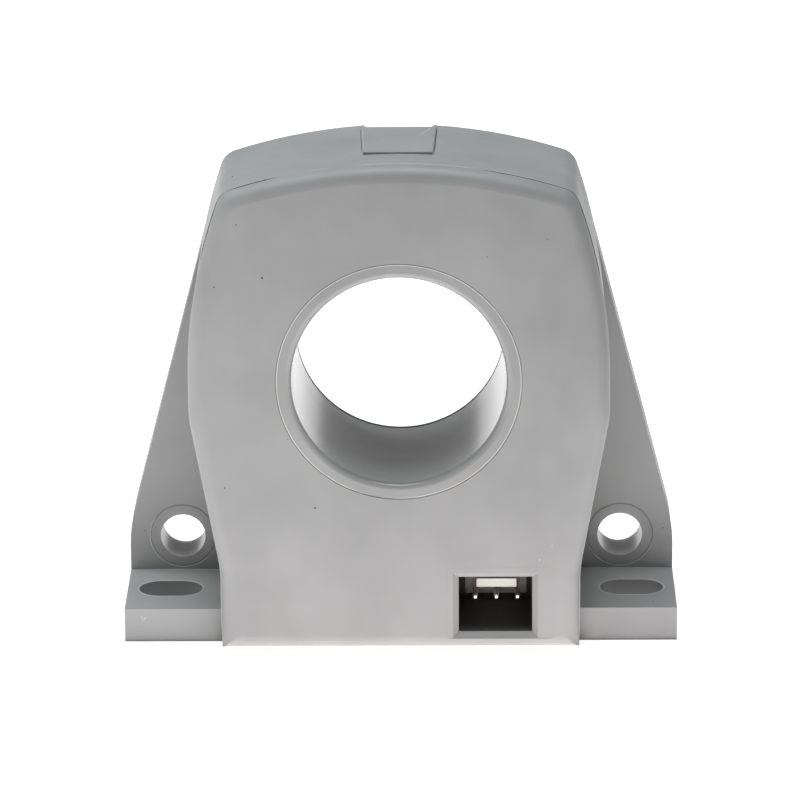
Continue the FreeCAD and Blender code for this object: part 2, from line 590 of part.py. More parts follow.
def make_wing_hollows(body, slope):
    """Hollows in the back of the wings, which keep their walls even."""
    rim = f"(sizes.wing_rim * sqrt(1 + {slope} ^ 2))"
    inner_foot = f"(sizes.base_width / 2 - sizes.knee_height * {SIDE_SLOPE})"
    outer_foot = f"(sizes.overall_width / 2 + sizes.wing_knee_height * {slope} - {rim})"
    floor = "sizes.wing_hollow_floor"
    ceiling = f"(({outer_foot} - {inner_foot} - sizes.wing_hollow_top_width) / ({SIDE_SLOPE} + {slope}))"

    def inner(height):
        return f"({inner_foot} + {height} * {SIDE_SLOPE})"

    def outer(height):
        return f"({outer_foot} - {height} * {slope})"

    hollows = front_sketch(body, "wing_hollow_outlines", WING_BACK)
    for side in SIDES:
        add_polygon(hollows, [(f"{side} * {inner(floor)}", floor),
                              (f"{side} * {outer(floor)}", floor),
                              (f"{side} * {outer(ceiling)}", ceiling),
                              (f"{side} * {inner(ceiling)}", ceiling)])
    extrude(body, "Pocket", "wing_hollows", hollows,
            "sizes.wing_thickness - sizes.wing_web", backwards=True)
    low = amount_of(floor)
    high = amount_of(ceiling)
    back = amount_of(WING_BACK)
    dress(body, "Fillet", "wing_hollow_corners",
          lambda edge: (runs_along_depth(edge) and near(edge.BoundBox.YMax, back)
                        and abs(edge.CenterOfMass.x) > amount_of("sizes.base_width") / 2
                        and (near(edge.CenterOfMass.z, low) or near(edge.CenterOfMass.z, high))),
          "Radius", "sizes.wing_hollow_radius")


def make_cavity(body):
    """Hollow case, open at the back, with the tube round the bore left standing."""
    cavity = front_sketch(body, "cavity_outline", WING_BACK)
    add_case_outline(cavity, "sizes.wall", f"(-{TOP_FALL})")
    add_circle(cavity, "0", "sizes.bore_height", TUBE_RADIUS)
    extrude(body, "Pocket", "cavity", cavity, "sizes.depth - sizes.front_wall", backwards=True)
    bore = front_sketch(body, "bore_outline", BACK)
    add_circle(bore, "0", "sizes.bore_height", BORE_RADIUS)
    extrude(body, "Pocket", "bore", bore, None, backwards=True)


def socket_sides(grow):
    """Left, right, floor and ceiling of the socket, grown by a formula."""
    left = f"(sizes.socket_x - sizes.socket_width / 2 - {grow})"
    right = f"(sizes.socket_x + sizes.socket_width / 2 + {grow})"
    floor = f"(sizes.socket_floor - {grow})"
    ceiling = f"(sizes.socket_floor + sizes.socket_height + {grow})"
    return left, right, floor, ceiling


def make_socket(body):
    """Mouth of the connector socket and the seat of its shroud behind the front wall."""
    mouth = front_sketch(body, "socket_mouth_outline", FRONT)
    add_rectangle(mouth, *socket_sides("0"))
    extrude(body, "Pocket", "socket_mouth", mouth, "sizes.front_wall")
    left, right, floor, ceiling = socket_sides("sizes.socket_chamfer")
    inner_left, inner_right, inner_floor, inner_ceiling = socket_sides("0")
    add_wedge(body, "SubtractiveWedge", "socket_funnel", (FRONT, f"{FRONT} + sizes.socket_chamfer"),
              (left, right), (floor, ceiling), (inner_left, inner_right), (inner_floor, inner_ceiling))
    seat = front_sketch(body, "shroud_seat_outline", SHROUD_FRONT)
    add_rectangle(seat, *socket_sides("(sizes.shroud_wall + sizes.shroud_clearance)"))
    extrude(body, "Pocket", "shroud_seat", seat, f"{SHROUD_BACK} - {SHROUD_FRONT}")


def make_witness_ring(body, label, x, z, diameter, face_y):
    """Fine V-shaped ring round a hole, cut in a face that looks forward."""
    ring = side_sketch(body, f"{label}_outline", x, z)
    radius = f"{diameter} / 2"
    half = "sizes.ring_groove_width / 2"
    add_polygon(ring, [(face_y, f"{radius} - {half}"), (f"{face_y} + sizes.ring_groove_depth", radius),
                       (face_y, f"{radius} + {half}")])
    turn_profile(body, "Groove", label, ring, "360")


def make_rings(body):
    """Rounded bore edge and the witness rings round the bore and the wing holes."""
    front = amount_of(FRONT)
    radius = amount_of(BORE_RADIUS)
    dress(body, "Fillet", "bore_edge",
          lambda edge: (isinstance(edge.Curve, Part.Circle) and near(edge.Curve.Radius, radius)
                        and near(edge.BoundBox.YMax, front)),
          "Radius", "sizes.bore_edge_radius")
    make_witness_ring(body, "bore_ring", "0", "sizes.bore_height", "sizes.bore_ring_diameter", FRONT)
    for side, name in zip(SIDES, ("left", "right")):
        make_witness_ring(body, f"{name}_wing_ring", f"{side} * {WING_HOLE_X}",
                          "sizes.wing_hole_height", "sizes.wing_ring_diameter", WING_FRONT)


def add_wedge(body, kind, label, depths, front_x, front_z, back_x, back_z):
    """Wedge between a section at its front and one at its back, each given by its two sides."""
    wedge = body.newObject(f"PartDesign::{kind}", label)
    bind(wedge, {"Ymin": depths[0], "Ymax": depths[1],
                 "Xmin": front_x[0], "Xmax": front_x[1], "Zmin": front_z[0], "Zmax": front_z[1],
                 "X2min": back_x[0], "X2max": back_x[1], "Z2min": back_z[0], "Z2max": back_z[1]})
    doc.recompute()
    return wedge


def about_middle(width):
    """Left and right side of a width that stands about the middle of the case."""
    return f"-({width}) / 2", f"({width}) / 2"


def make_arrow(body):
    """Flat pad on the crown with an arrow that points to the front."""
    start = f"({FRONT} + sizes.arrow_setback)"
    fall = "sizes.arrow_setback * tan(sizes.top_draft * 1 deg)"
    pad_front = f"({CROWN} - {fall} + sizes.arrow_rise)"
    pad_back = f"({CROWN} - {TOP_FALL} - sizes.arrow_back_sink)"
    add_wedge(body, "AdditiveWedge", "arrow_pad", (start, BACK),
              about_middle("sizes.arrow_front_width"), (f"{pad_front} - sizes.arrow_root", pad_front),
              about_middle("sizes.arrow_back_width"), (f"{pad_back} - sizes.arrow_root", pad_back))
    tip = f"({start} + sizes.arrow_tip_setback)"
    above = f"{CROWN} + sizes.arrow_root"
    add_wedge(body, "SubtractiveWedge", "arrow_head", (tip, BACK),
              about_middle("sizes.arrow_tip_width"), (f"{pad_front} - sizes.arrow_tip_depth", above),
              about_middle("sizes.arrow_back_width - sizes.arrow_tip_width"),
              (f"{pad_back} - sizes.arrow_head_depth", above))


def make_housing():
    """Whole moulding."""
    body = new_body("housing")
    make_case_block(body)
    make_wings(body)
    make_cavity(body)
    make_socket(body)
    make_rings(body)
    make_arrow(body)
    return body


# The magnetic ring: core, bobbin halves, winding and tape
def ring_sketch(body, label):
    """Sketch whose X axis is the bore axis, for a section that is turned round it."""
    return side_sketch(body, label, "0", "sizes.bore_height")


def make_core():
    """Strip-wound ring with an air gap at the bottom."""
    body = new_body("ring_core")
    section = ring_sketch(body, "core_section")
    add_rectangle(section, CORE_FRONT, CORE_BACK, CORE_INNER, CORE_OUTER)
    turn_profile(body, "Revolution", "core_ring", section, "360 - sizes.core_gap")
    return body


def make_bobbin_half(label, end_y, toward):
    """Channel-shaped half of the bobbin: a flat end with two rims to the middle."""
    body = new_body(label)
    section = ring_sketch(body, f"{label}_section")
    inside_end = f"{end_y} + {toward} * {BOBBIN_WALL}"
    inner_rim = f"{BOBBIN_INNER} + {BOBBIN_WALL}"
    outer_rim = f"{BOBBIN_OUTER} - {BOBBIN_WALL}"
    add_polygon(section, [(end_y, BOBBIN_INNER), (STACK_MIDDLE, BOBBIN_INNER), (STACK_MIDDLE, inner_rim),
                          (inside_end, inner_rim), (inside_end, outer_rim), (STACK_MIDDLE, outer_rim),
                          (STACK_MIDDLE, BOBBIN_OUTER), (end_y, BOBBIN_OUTER)])
    turn_profile(body, "Revolution", f"{label}_ring", section, "360 - sizes.bobbin_gap")
    return body


def lead_place(side):
    """Place of one end of the winding beside the gap at the bottom."""
    turn = "(sizes.winding_gap / 2 + sizes.winding_lead_angle) * 1 deg"
    reach = f"({WINDING_OUTER} - {WINDING_LAYER} / 2)"
    return f"{side} * {reach} * sin({turn})", f"sizes.bore_height - {reach} * cos({turn})"


def make_winding():
    """Layers of wire round the bobbin, with their two ends led to the board."""
    body = new_body("secondary_winding")
    section = ring_sketch(body, "winding_section")
    add_rectangle(section, STACK_FRONT, STACK_BACK, WINDING_INNER, WINDING_OUTER)
    add_rectangle(section, BOBBIN_FRONT, BOBBIN_BACK, BOBBIN_INNER, BOBBIN_OUTER)
    turn_profile(body, "Revolution", "winding_ring", section, "360 - sizes.winding_gap")
    radii = [amount_of(WINDING_INNER), amount_of(WINDING_OUTER)]
    ends = [amount_of(STACK_FRONT), amount_of(STACK_BACK)]

    def outer_corner(edge):
        if not isinstance(edge.Curve, Part.Circle):
            return False
        on_radius = any(near(edge.Curve.Radius, radius) for radius in radii)
        return on_radius and any(near(edge.CenterOfMass.y, end) for end in ends)

    dress(body, "Fillet", "winding_corners", outer_corner,
          "Radius", f"sizes.winding_corner_share * {WINDING_LAYER}")
    leads = front_sketch(body, "winding_lead_outlines", f"{STACK_BACK} - {WINDING_LAYER} / 2")
    for side in SIDES:
        x, z = lead_place(side)
        add_circle(leads, x, z, "sizes.winding_lead_diameter / 2")
    length = f"{BOARD_BACK} + sizes.lead_tail - {STACK_BACK} + {WINDING_LAYER} / 2"
    extrude(body, "Pad", "winding_leads", leads, length, backwards=True)
    return body


def make_tape():
    """Tape round the outside of the winding."""
    body = new_body("winding_tape")
    section = ring_sketch(body, "tape_section")
    add_rectangle(section, f"{STACK_FRONT} + sizes.tape_margin", f"{STACK_BACK} - sizes.tape_margin",
                  WINDING_OUTER, TAPE_RADIUS)
    turn_profile(body, "Revolution", "tape_band", section, "360 - sizes.winding_gap")
    return body


# The field probe in the gap and the board that carries the electronics
def hall_lead_z(index):
    """Height of one lead of the field probe."""
    step = index - (HALL_LEADS - 1) / 2
    return f"(sizes.bore_height - {CORE_MIDDLE} + {step} * sizes.hall_lead_pitch)"


def make_hall_element():
    """Flat probe in the air gap, with leads straight back to the board."""
    pieces = [box_piece("hall_case",
                        ("-sizes.hall_width / 2", f"{STACK_MIDDLE} - sizes.hall_depth / 2",
                         f"sizes.bore_height - {CORE_MIDDLE} - sizes.hall_height / 2"),
                        ("sizes.hall_width", "sizes.hall_depth", "sizes.hall_height"))]
    for index in range(HALL_LEADS):
        pieces.append(box_piece(f"hall_lead_{index + 1}",
                                ("-sizes.lead_side / 2", STACK_MIDDLE,
                                 f"{hall_lead_z(index)} - sizes.lead_side / 2"),
                                ("sizes.lead_side", f"{BOARD_BACK} + sizes.lead_tail - {STACK_MIDDLE}",
                                 "sizes.lead_side")))
    return fuse("hall_element", pieces)


def pin_x(index):
    """Place of one connector pin across the width."""
    return f"(sizes.header_x + ({index} - {(PINS - 1) / 2}) * sizes.pin_pitch)"


def capacitor_x(index):
    """Place of one supply capacitor across the width."""
    return f"(-sizes.capacitor_first_x - {index} * sizes.capacitor_pitch)"


def add_square(sketch, x, z, side):
    """Square about a middle point."""
    half = f"{side} / 2"
    add_rectangle(sketch, f"{x} - {half}", f"{x} + {half}", f"{z} - {half}", f"{z} + {half}")


def make_board():
    """Upright circuit board behind the ring, notched round the bore tube."""
    body = new_body("circuit_board")
    outline = front_sketch(body, "board_outline", BOARD_FRONT)
    floor = "sizes.wall + sizes.board_clearance"
    add_rectangle(outline, f"-{BOARD_HALF}", BOARD_HALF, floor, "sizes.board_top")
    extrude(body, "Pad", "board", outline, "sizes.board_thickness", backwards=True)
    notch = front_sketch(body, "board_notch_outline", BOARD_FRONT)
    add_circle(notch, "0", "sizes.bore_height", f"{TUBE_RADIUS} + sizes.board_clearance")
    extrude(body, "Pocket", "board_notch", notch, "sizes.board_thickness")
    holes = front_sketch(body, "lead_hole_outlines", BOARD_FRONT)
    for index in range(PINS):
        add_square(holes, pin_x(index), "sizes.pin_height", "sizes.pin_side")
    for index in range(HALL_LEADS):
        add_square(holes, "0", hall_lead_z(index), "sizes.lead_side")
    for index in range(CAPACITORS):
        for side in SIDES:
            add_square(holes, f"{capacitor_x(index)} + {side} * sizes.capacitor_lead_pitch / 2",
                       "sizes.capacitor_height", "sizes.lead_side")
    for side in SIDES:
        x, z = lead_place(side)
        add_circle(holes, x, z, "sizes.winding_lead_diameter / 2")
    extrude(body, "Pocket", "lead_holes", holes, "sizes.board_thickness")
    return body


def make_shroud():
    """Black liner of the socket: a tube behind the mouth, closed by a wall with a window."""
    body = new_body("connector_shroud")
    outer = front_sketch(body, "shroud_outline", SHROUD_FRONT)
    add_rectangle(outer, *socket_sides("sizes.shroud_wall"))
    extrude(body, "Pad", "shroud_block", outer, f"{SHROUD_BACK} - {SHROUD_FRONT}", backwards=True)
    inner = front_sketch(body, "shroud_hollow_outline", SHROUD_FRONT)
    add_rectangle(inner, *socket_sides("0"))
    extrude(body, "Pocket", "shroud_hollow", inner, f"{HEADER_FRONT} - {SHROUD_FRONT}")
    deepest = amount_of(HEADER_FRONT)
    dress(body, "Fillet", "shroud_corners",
          lambda edge: runs_along_depth(edge) and near(edge.BoundBox.YMax, deepest),
          "Radius", "sizes.socket_corner_radius")
    window = front_sketch(body, "header_window_outline", HEADER_FRONT)
    half = "(sizes.header_width / 2 + sizes.header_clearance)"
    add_rectangle(window, f"sizes.header_x - {half}", f"sizes.header_x + {half}",
                  f"{HEADER_FLOOR} - sizes.header_clearance",
                  f"{HEADER_FLOOR} + sizes.header_height + sizes.header_clearance")
    extrude(body, "Pocket", "header_window", window, "sizes.shroud_back_wall")
    return body


def make_header():
    """Three-way pin header: base, latch bar with its nose, holes for the pins."""
    body = new_body("connector_header")
    base = front_sketch(body, "header_base_outline", HEADER_FRONT)
    half = "sizes.header_width / 2"
    add_rectangle(base, f"sizes.header_x - {half}", f"sizes.header_x + {half}",
                  HEADER_FLOOR, f"{HEADER_FLOOR} + sizes.header_height")
    extrude(body, "Pad", "header_base", base, "sizes.header_thickness", backwards=True)
    latch = side_sketch(body, "latch_outline", "sizes.header_x")
    top = f"({HEADER_FLOOR} + sizes.header_height)"
    under = f"({top} - sizes.lock_thickness)"
    tip = f"({FRONT} + sizes.lock_setback)"
    add_polygon(latch, [(f"{HEADER_FRONT} + sizes.header_thickness / 2", top), (tip, top),
                        (tip, f"{under} - sizes.lock_hook"),
                        (f"{tip} + sizes.lock_hook_length / 2", f"{under} - sizes.lock_hook"),
                        (f"{tip} + sizes.lock_hook_length", under),
                        (f"{HEADER_FRONT} + sizes.header_thickness / 2", under)])
    extrude(body, "Pad", "latch_bar", latch, "sizes.lock_width", midplane=True)
    holes = front_sketch(body, "pin_hole_outlines", HEADER_FRONT)
    for index in range(PINS):
        add_square(holes, pin_x(index), "sizes.pin_height", "sizes.pin_side")
    extrude(body, "Pocket", "pin_holes", holes, "sizes.header_thickness")
    return body


def make_pin(index):
    """Square connector pin with a blunt point."""
    body = new_body(f"connector_pin_{index + 1}")
    section = front_sketch(body, f"pin_{index + 1}_section", f"{FRONT} + sizes.pin_setback")
    add_square(section, pin_x(index), "sizes.pin_height", "sizes.pin_side")
    length = f"{BOARD_BACK} + sizes.pin_tail - {FRONT} - sizes.pin_setback"
    extrude(body, "Pad", f"pin_{index + 1}_shank", section, length, backwards=True)
    tip = amount_of(f"{FRONT} + sizes.pin_setback")
    dress(body, "Chamfer", f"pin_{index + 1}_point",
          lambda edge: near(edge.BoundBox.YMax, tip), "Size", "sizes.pin_tip_chamfer")
    return body


def make_capacitor(index):
    """Upright can in front of the board, on two leads."""
    label = f"supply_capacitor_{index + 1}"
    can = rod_piece(f"{label}_can",
                    (capacitor_x(index), f"{BOARD_FRONT} - sizes.capacitor_length",
                     "sizes.capacitor_height"),
                    "sizes.capacitor_diameter / 2", "sizes.capacitor_length")
    pieces = [can]
    for side in SIDES:
        x = f"{capacitor_x(index)} + {side} * sizes.capacitor_lead_pitch / 2 - sizes.lead_side / 2"
        pieces.append(box_piece(f"{label}_lead_{side + 2}",
                                (x, f"{BOARD_FRONT} - sizes.lead_side",
                                 "sizes.capacitor_height - sizes.lead_side / 2"),
                                ("sizes.lead_side",
                                 "sizes.lead_side + sizes.board_thickness + sizes.lead_tail",
                                 "sizes.lead_side")))
    return fuse(label, pieces)


def make_amplifier():
    """Small chip on the back of the board, with legs above and below."""
    left = "(-sizes.amplifier_x - sizes.amplifier_width / 2)"
    floor = "(sizes.amplifier_z - sizes.amplifier_height / 2)"
    pieces = [box_piece("amplifier_case", (left, BOARD_BACK, floor),
                        ("sizes.amplifier_width", "sizes.amplifier_thickness", "sizes.amplifier_height"))]
    first = f"(-sizes.amplifier_x - {(AMPLIFIER_LEADS_PER_SIDE - 1) / 2} * sizes.amplifier_lead_pitch)"
    for index in range(AMPLIFIER_LEADS_PER_SIDE):
        pieces.append(box_piece(f"amplifier_legs_{index + 1}",
                                (f"{first} + {index} * sizes.amplifier_lead_pitch - sizes.lead_side / 2",
                                 BOARD_BACK, "sizes.amplifier_z - sizes.amplifier_span / 2"),
                                ("sizes.lead_side", "sizes.lead_side", "sizes.amplifier_span")))
    return fuse("amplifier_chip", pieces)


def make_transistor(index, side):
    """Power transistor on the back of the board, with its cooling tab and legs."""
    label = f"output_transistor_{index + 1}"
    left = f"({side} * {TRANSISTOR_X} - sizes.transistor_width / 2)"
    case = box_piece(f"{label}_case", (left, BOARD_BACK, "sizes.transistor_base"),
                     ("sizes.transistor_width", "sizes.transistor_thickness", "sizes.transistor_height"))
    tab_foot = "sizes.transistor_base + sizes.transistor_height"
    tab_width = "sizes.transistor_width - 2 * sizes.lead_side"
    tab = box_piece(f"{label}_tab", (f"{left} + sizes.lead_side", BOARD_BACK, tab_foot),
                    (tab_width, "sizes.lead_side", "sizes.transistor_tab"))
    pieces = [case, tab]
    for leg in SIDES:
        x = f"{side} * {TRANSISTOR_X} + {leg} * sizes.transistor_width / 3 - sizes.lead_side"
        pieces.append(box_piece(f"{label}_leg_{leg + 2}",
                                (x, BOARD_BACK, "sizes.transistor_base - sizes.transistor_foot"),
                                ("2 * sizes.lead_side", "sizes.lead_side", "sizes.transistor_foot")))
    return fuse(label, pieces)


def chip_on_back(label, x, z, width, height, thickness):
    """Plain rectangular part on the back of the board, about its middle."""
    corner = (f"{x} - {width} / 2", BOARD_BACK, f"{z} - {height} / 2")
    return box_piece(label, corner, (width, thickness, height))


def make_diode(index):
    """Moulded clamp diode."""
    return chip_on_back(f"clamp_diode_{index + 1}", "sizes.diode_x",
                        f"(sizes.diode_first_z + {index} * sizes.diode_pitch)",
                        "sizes.diode_width", "sizes.diode_height", "sizes.diode_thickness")


def make_resistor(index):
    """Chip resistor."""
    return chip_on_back(f"resistor_{index + 1}", "-sizes.resistor_x",
                        f"(sizes.resistor_first_z + {index} * sizes.resistor_pitch)",
                        "sizes.resistor_width", "sizes.resistor_height", "sizes.resistor_thickness")


# The resin that fills the case round everything it holds
def make_resin(held):
    """Filling of the cavity up to just below the rim, less what it holds."""
    body = new_body("resin_block")
    outline = front_sketch(body, "resin_outline", FRONT_INSIDE)
    add_case_outline(outline, "sizes.wall", f"(-{TOP_FALL})")
    add_circle(outline, "0", "sizes.bore_height", TUBE_RADIUS)
    length = f"{RESIN_BACK} - {FRONT_INSIDE}"
    extrude(body, "Pad", "resin_filling", outline, length, backwards=True)
    left, right, floor, ceiling = socket_sides("sizes.shroud_wall")
    socket_space = box_piece("socket_space", (left, SHROUD_FRONT, floor),
                             (f"{right} - {left}", f"{SHROUD_BACK} - {SHROUD_FRONT}",
                              f"{ceiling} - {floor}"))
    resin = doc.addObject("Part::Cut", "potting_resin")
    resin.Label = "potting_resin"
    tools = doc.addObject("Part::Compound", "resin_contents")
    tools.Links = [socket_space, *held]
    resin.Base = body
    resin.Tool = tools
    return resin


housing = make_housing()
inner_parts = [
    make_core(),
    make_bobbin_half("front_bobbin_half", BOBBIN_FRONT, 1),
    make_bobbin_half("rear_bobbin_half", BOBBIN_BACK, -1),
    make_winding(),
    make_tape(),
    make_hall_element(),
    make_board(),
    make_shroud(),
    make_header(),
    *[make_pin(index) for index in range(PINS)],
    *[make_capacitor(index) for index in range(CAPACITORS)],
    make_amplifier(),
    *[make_transistor(index, side) for index, side in enumerate(SIDES)],
    *[make_diode(index) for index in range(DIODES)],
    *[make_resistor(index) for index in range(RESISTORS)],
]
resin = make_resin(inner_parts)
doc.recompute()

for item in doc.Objects:
    if "Invalid" in item.State or "Error" in item.State:
        raise RuntimeError(f"{item.Label} failed: {item.State}")

os.makedirs("parts", exist_ok=True)
for node in [housing, *inner_parts, resin]:
    shape = node.Shape
    if shape.isNull() or not shape.isValid():
        raise RuntimeError(f"{node.Label} has no valid shape")
    shape.exportStep(f"parts/{node.Label}.step")
    print(node.Label, len(shape.Solids), round(shape.Volume, 2))
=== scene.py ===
"""Looks of a current sensor with a through bore: moulded case, pin header and the parts it holds."""

import enum
import logging
import math
from dataclasses import dataclass, field

import bmesh
import bpy
import numpy as np
from mathutils import Matrix, Vector


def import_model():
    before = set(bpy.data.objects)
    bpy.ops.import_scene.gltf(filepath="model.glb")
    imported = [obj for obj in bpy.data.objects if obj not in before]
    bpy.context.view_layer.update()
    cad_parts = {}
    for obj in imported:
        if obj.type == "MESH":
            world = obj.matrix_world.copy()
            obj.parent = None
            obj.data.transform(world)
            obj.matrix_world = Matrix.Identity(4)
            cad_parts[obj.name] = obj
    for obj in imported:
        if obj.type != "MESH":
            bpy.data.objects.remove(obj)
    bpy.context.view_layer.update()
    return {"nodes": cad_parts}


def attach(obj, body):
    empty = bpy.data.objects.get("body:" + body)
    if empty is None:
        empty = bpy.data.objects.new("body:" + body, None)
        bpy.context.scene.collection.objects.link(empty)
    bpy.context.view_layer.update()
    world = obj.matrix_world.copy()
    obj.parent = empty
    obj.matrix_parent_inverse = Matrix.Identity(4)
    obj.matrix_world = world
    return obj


Socket = bpy.types.NodeSocket
Triple = tuple[float, float, float]
Array = np.ndarray
Material = bpy.types.Material
Mesh = tuple[Array, Array]

MM = 0.001
BACKWARDS = np.array((0.0, 1.0, 0.0))
log = logging.getLogger("current_sensor")

# Curve of a screen's colours: a line up to the knee and a power above it
CURVE_KNEE = 0.04045
CURVE_SLOPE = 12.92
CURVE_SHIFT = 0.055
CURVE_POWER = 2.4
# Range that most of a noise pattern lies in
NOISE_LOW = 0.3
NOISE_HIGH = 0.7
# Distances from a polished wall over which its plastic turns rough, in millimetres
POLISH_NEAR = 0.1
POLISH_FAR = 0.9
# Beads: points round the profile, path points over which an end narrows, and its share at the tip
BEAD_SIDES = 8
TAPER_STEPS = 6.0
TAPER_TIP = 0.25
# Points closer and edges shorter than these are merged, in metres
MERGE_REACH = 1e-7
SHORTEST_EDGE = 1e-8


class Shade(enum.Enum):
    """Light rays that see a brightness of their own on the floor and in the sky."""

    CAMERA = "Is Camera Ray"
    GLOSSY = "Is Glossy Ray"
    TRANSMISSION = "Is Transmission Ray"


class Face(enum.Enum):
    """Faces of the moulding that small marks lie on."""

    FRONT = "front"
    FOOT_FRONT = "foot_front"
    WING = "wing"
    TOP = "top"
    PAD = "pad"
    FOOT_TOP = "foot_top"

    @property
    def normal(self) -> Array:
        """Direction that the face looks in."""
        level = self in (Face.TOP, Face.PAD, Face.FOOT_TOP)
        return np.array((0.0, 0.0, 1.0) if level else (0.0, -1.0, 0.0))


def linear(colour: Triple, share: float = 1.0) -> tuple[float, float, float, float]:
    """Light that a colour seen on a screen stands for.

    Args:
        colour: red, green and blue from 0 to 1, as seen.
        share: factor on the seen colour.

    Returns:
        The colour in linear light, with full cover.
    """
    seen = np.array(colour) * share
    curved = ((seen + CURVE_SHIFT) / (1.0 + CURVE_SHIFT)) ** CURVE_POWER
    return (*np.where(seen <= CURVE_KNEE, seen / CURVE_SLOPE, curved), 1.0)


class NodeBoard:
    """Node tree of a material or of the sky, and short ways to add its nodes."""

    COLOUR_INPUTS = (6, 7)
    COLOUR_OUTPUT = 2

    def __init__(self, owner: Material | bpy.types.World,
                 output: str = "ShaderNodeOutputMaterial") -> None:
        """Empties the tree and adds its output.

        Args:
            owner: material or sky that the tree belongs to.
            output: Blender's name of the output node.
        """
        self.owner = owner
        owner.use_nodes = True
        self.tree = owner.node_tree
        self.tree.nodes.clear()
        self.output = self.tree.nodes.new(output)
        self.coordinates = self.tree.nodes.new("ShaderNodeTexCoord").outputs["Object"]

    def add(self, kind: str, links: dict[str | int, Socket] | None = None,
            **values: object) -> bpy.types.Node:
        """Adds a node, sets its sockets and its own settings.

        Args:
            kind: Blender's name of the node.
            links: names or places of sockets with the sockets that feed them.
            values: settings of the node by name, or socket values under `sockets`.

        Returns:
            The new node.
        """
        node = self.tree.nodes.new(kind)
        for socket, value in values.pop("sockets", {}).items():
            node.inputs[socket].default_value = value
        for name, value in values.items():
            setattr(node, name, value)
        for socket, source in (links or {}).items():
            self.tree.links.new(source, node.inputs[socket])
        return node

    def feed(self, socket: Socket, value: object) -> None:
        """Feeds a node's socket with a pattern, or sets it to a constant.

        Args:
            socket: socket of the node.
            value: pattern, number or colour.
        """
        if isinstance(value, Socket):
            self.tree.links.new(value, socket)
        else:
            socket.default_value = value

    def surface(self, shader: Socket) -> None:
        """Joins a shader to the output."""
        self.tree.links.new(shader, self.output.inputs["Surface"])

    def noise(self, scale: float, detail: float = 2.0, roughness: float = 0.5,
              stretch: Triple = (1.0, 1.0, 1.0)) -> Socket:
        """Cloudy pattern in the piece's own coordinates.

        Args:
            scale: clouds to the metre.
            detail: octaves of the pattern.
            roughness: share of each finer octave.
            stretch: factors along the three axes.

        Returns:
            The pattern, about one half in the mean.
        """
        mapping = self.add("ShaderNodeMapping", {"Vector": self.coordinates}, sockets={"Scale": stretch})
        node = self.add("ShaderNodeTexNoise", {"Vector": mapping.outputs["Vector"]},
                        sockets={"Scale": scale, "Detail": detail, "Roughness": roughness})
        return node.outputs["Fac"]

    def cells(self, scale: float) -> Socket:
        """Pattern of scattered points, each the middle of its own cell.

        Args:
            scale: cells to the metre.

        Returns:
            The distance from the nearest point, as a share of a cell.
        """
        node = self.add("ShaderNodeTexVoronoi", {"Vector": self.coordinates}, sockets={"Scale": scale})
        return node.outputs["Distance"]

    def bands(self, axis: str, scale: float, distortion: float = 0.0) -> Socket:
        """Pattern of even waves along one axis.

        Args:
            axis: the axis, X, Y or Z.
            scale: how close the waves lie.
            distortion: how far they wander.

        Returns:
            The pattern, from 0 to 1.
        """
        node = self.add("ShaderNodeTexWave", {"Vector": self.coordinates}, bands_direction=axis,
                        sockets={"Scale": scale, "Distortion": distortion})
        return node.outputs["Fac"]

    def ramp(self, source: Socket, bottom: float, top: float,
             low: float = NOISE_LOW, high: float = NOISE_HIGH) -> Socket:
        """Spreads a pattern between two limits and holds it there.

        Args:
            source: pattern to spread.
            bottom: lower result.
            top: upper result.
            low: pattern value that gives `bottom`.
            high: pattern value that gives `top`.

        Returns:
            The spread pattern.
        """
        node = self.add("ShaderNodeMapRange", {"Value": source},
                        sockets={"From Min": low, "From Max": high, "To Min": bottom, "To Max": top})
        return node.outputs["Result"]

    def blend(self, factor: Socket, first: object, second: object) -> Socket:
        """Mixes two colours by a pattern.

        Args:
            factor: share of the second colour.
            first: colour or socket where the pattern is zero.
            second: colour or socket where the pattern is one.

        Returns:
            The mixed colour.
        """
        node = self.add("ShaderNodeMix", {"Factor": factor}, data_type="RGBA")
        for place, colour in zip(self.COLOUR_INPUTS, (first, second)):
            self.feed(node.inputs[place], colour)
        return node.outputs[self.COLOUR_OUTPUT]

    def reach(self, x: float, z: float) -> Socket:
        """Distance from a line that runs along the depth.

        Args:
            x: place of the line across the width, in millimetres.
            z: height of the line, in millimetres.

        Returns:
            The distance in metres.
        """
        moved = self.add("ShaderNodeVectorMath", {0: self.coordinates}, operation="SUBTRACT",
                         sockets={1: (x * MM, 0.0, z * MM)})
        flat = self.add("ShaderNodeVectorMath", {0: moved.outputs["Vector"]}, operation="MULTIPLY",
                        sockets={1: (1.0, 0.0, 1.0)})
        length = self.add("ShaderNodeVectorMath", {0: flat.outputs["Vector"]}, operation="LENGTH")
        return length.outputs["Value"]

    def times(self, first: Socket, second: object) -> Socket:
        """Product of a pattern and a number or another pattern.

        Args:
            first: pattern.
            second: number or pattern.

        Returns:
            The product.
        """
        node = self.add("ShaderNodeMath", {0: first}, operation="MULTIPLY")
        self.feed(node.inputs[1], second)
        return node.outputs["Value"]

    def bump(self, height: Socket, depth: float, below: Socket | None = None,
             strength: Socket | None = None) -> Socket:
        """Relief of a pattern, on top of another relief.

        Args:
            height: pattern of the relief.
            depth: its height in metres.
            below: relief that it lies on.
            strength: share of the relief that is kept.

        Returns:
            The direction of the surface.
        """
        sources = {"Height": height, "Normal": below, "Strength": strength}
        links = {name: source for name, source in sources.items() if source is not None}
        node = self.add("ShaderNodeBump", links, sockets={"Distance": depth})
        return node.outputs["Normal"]

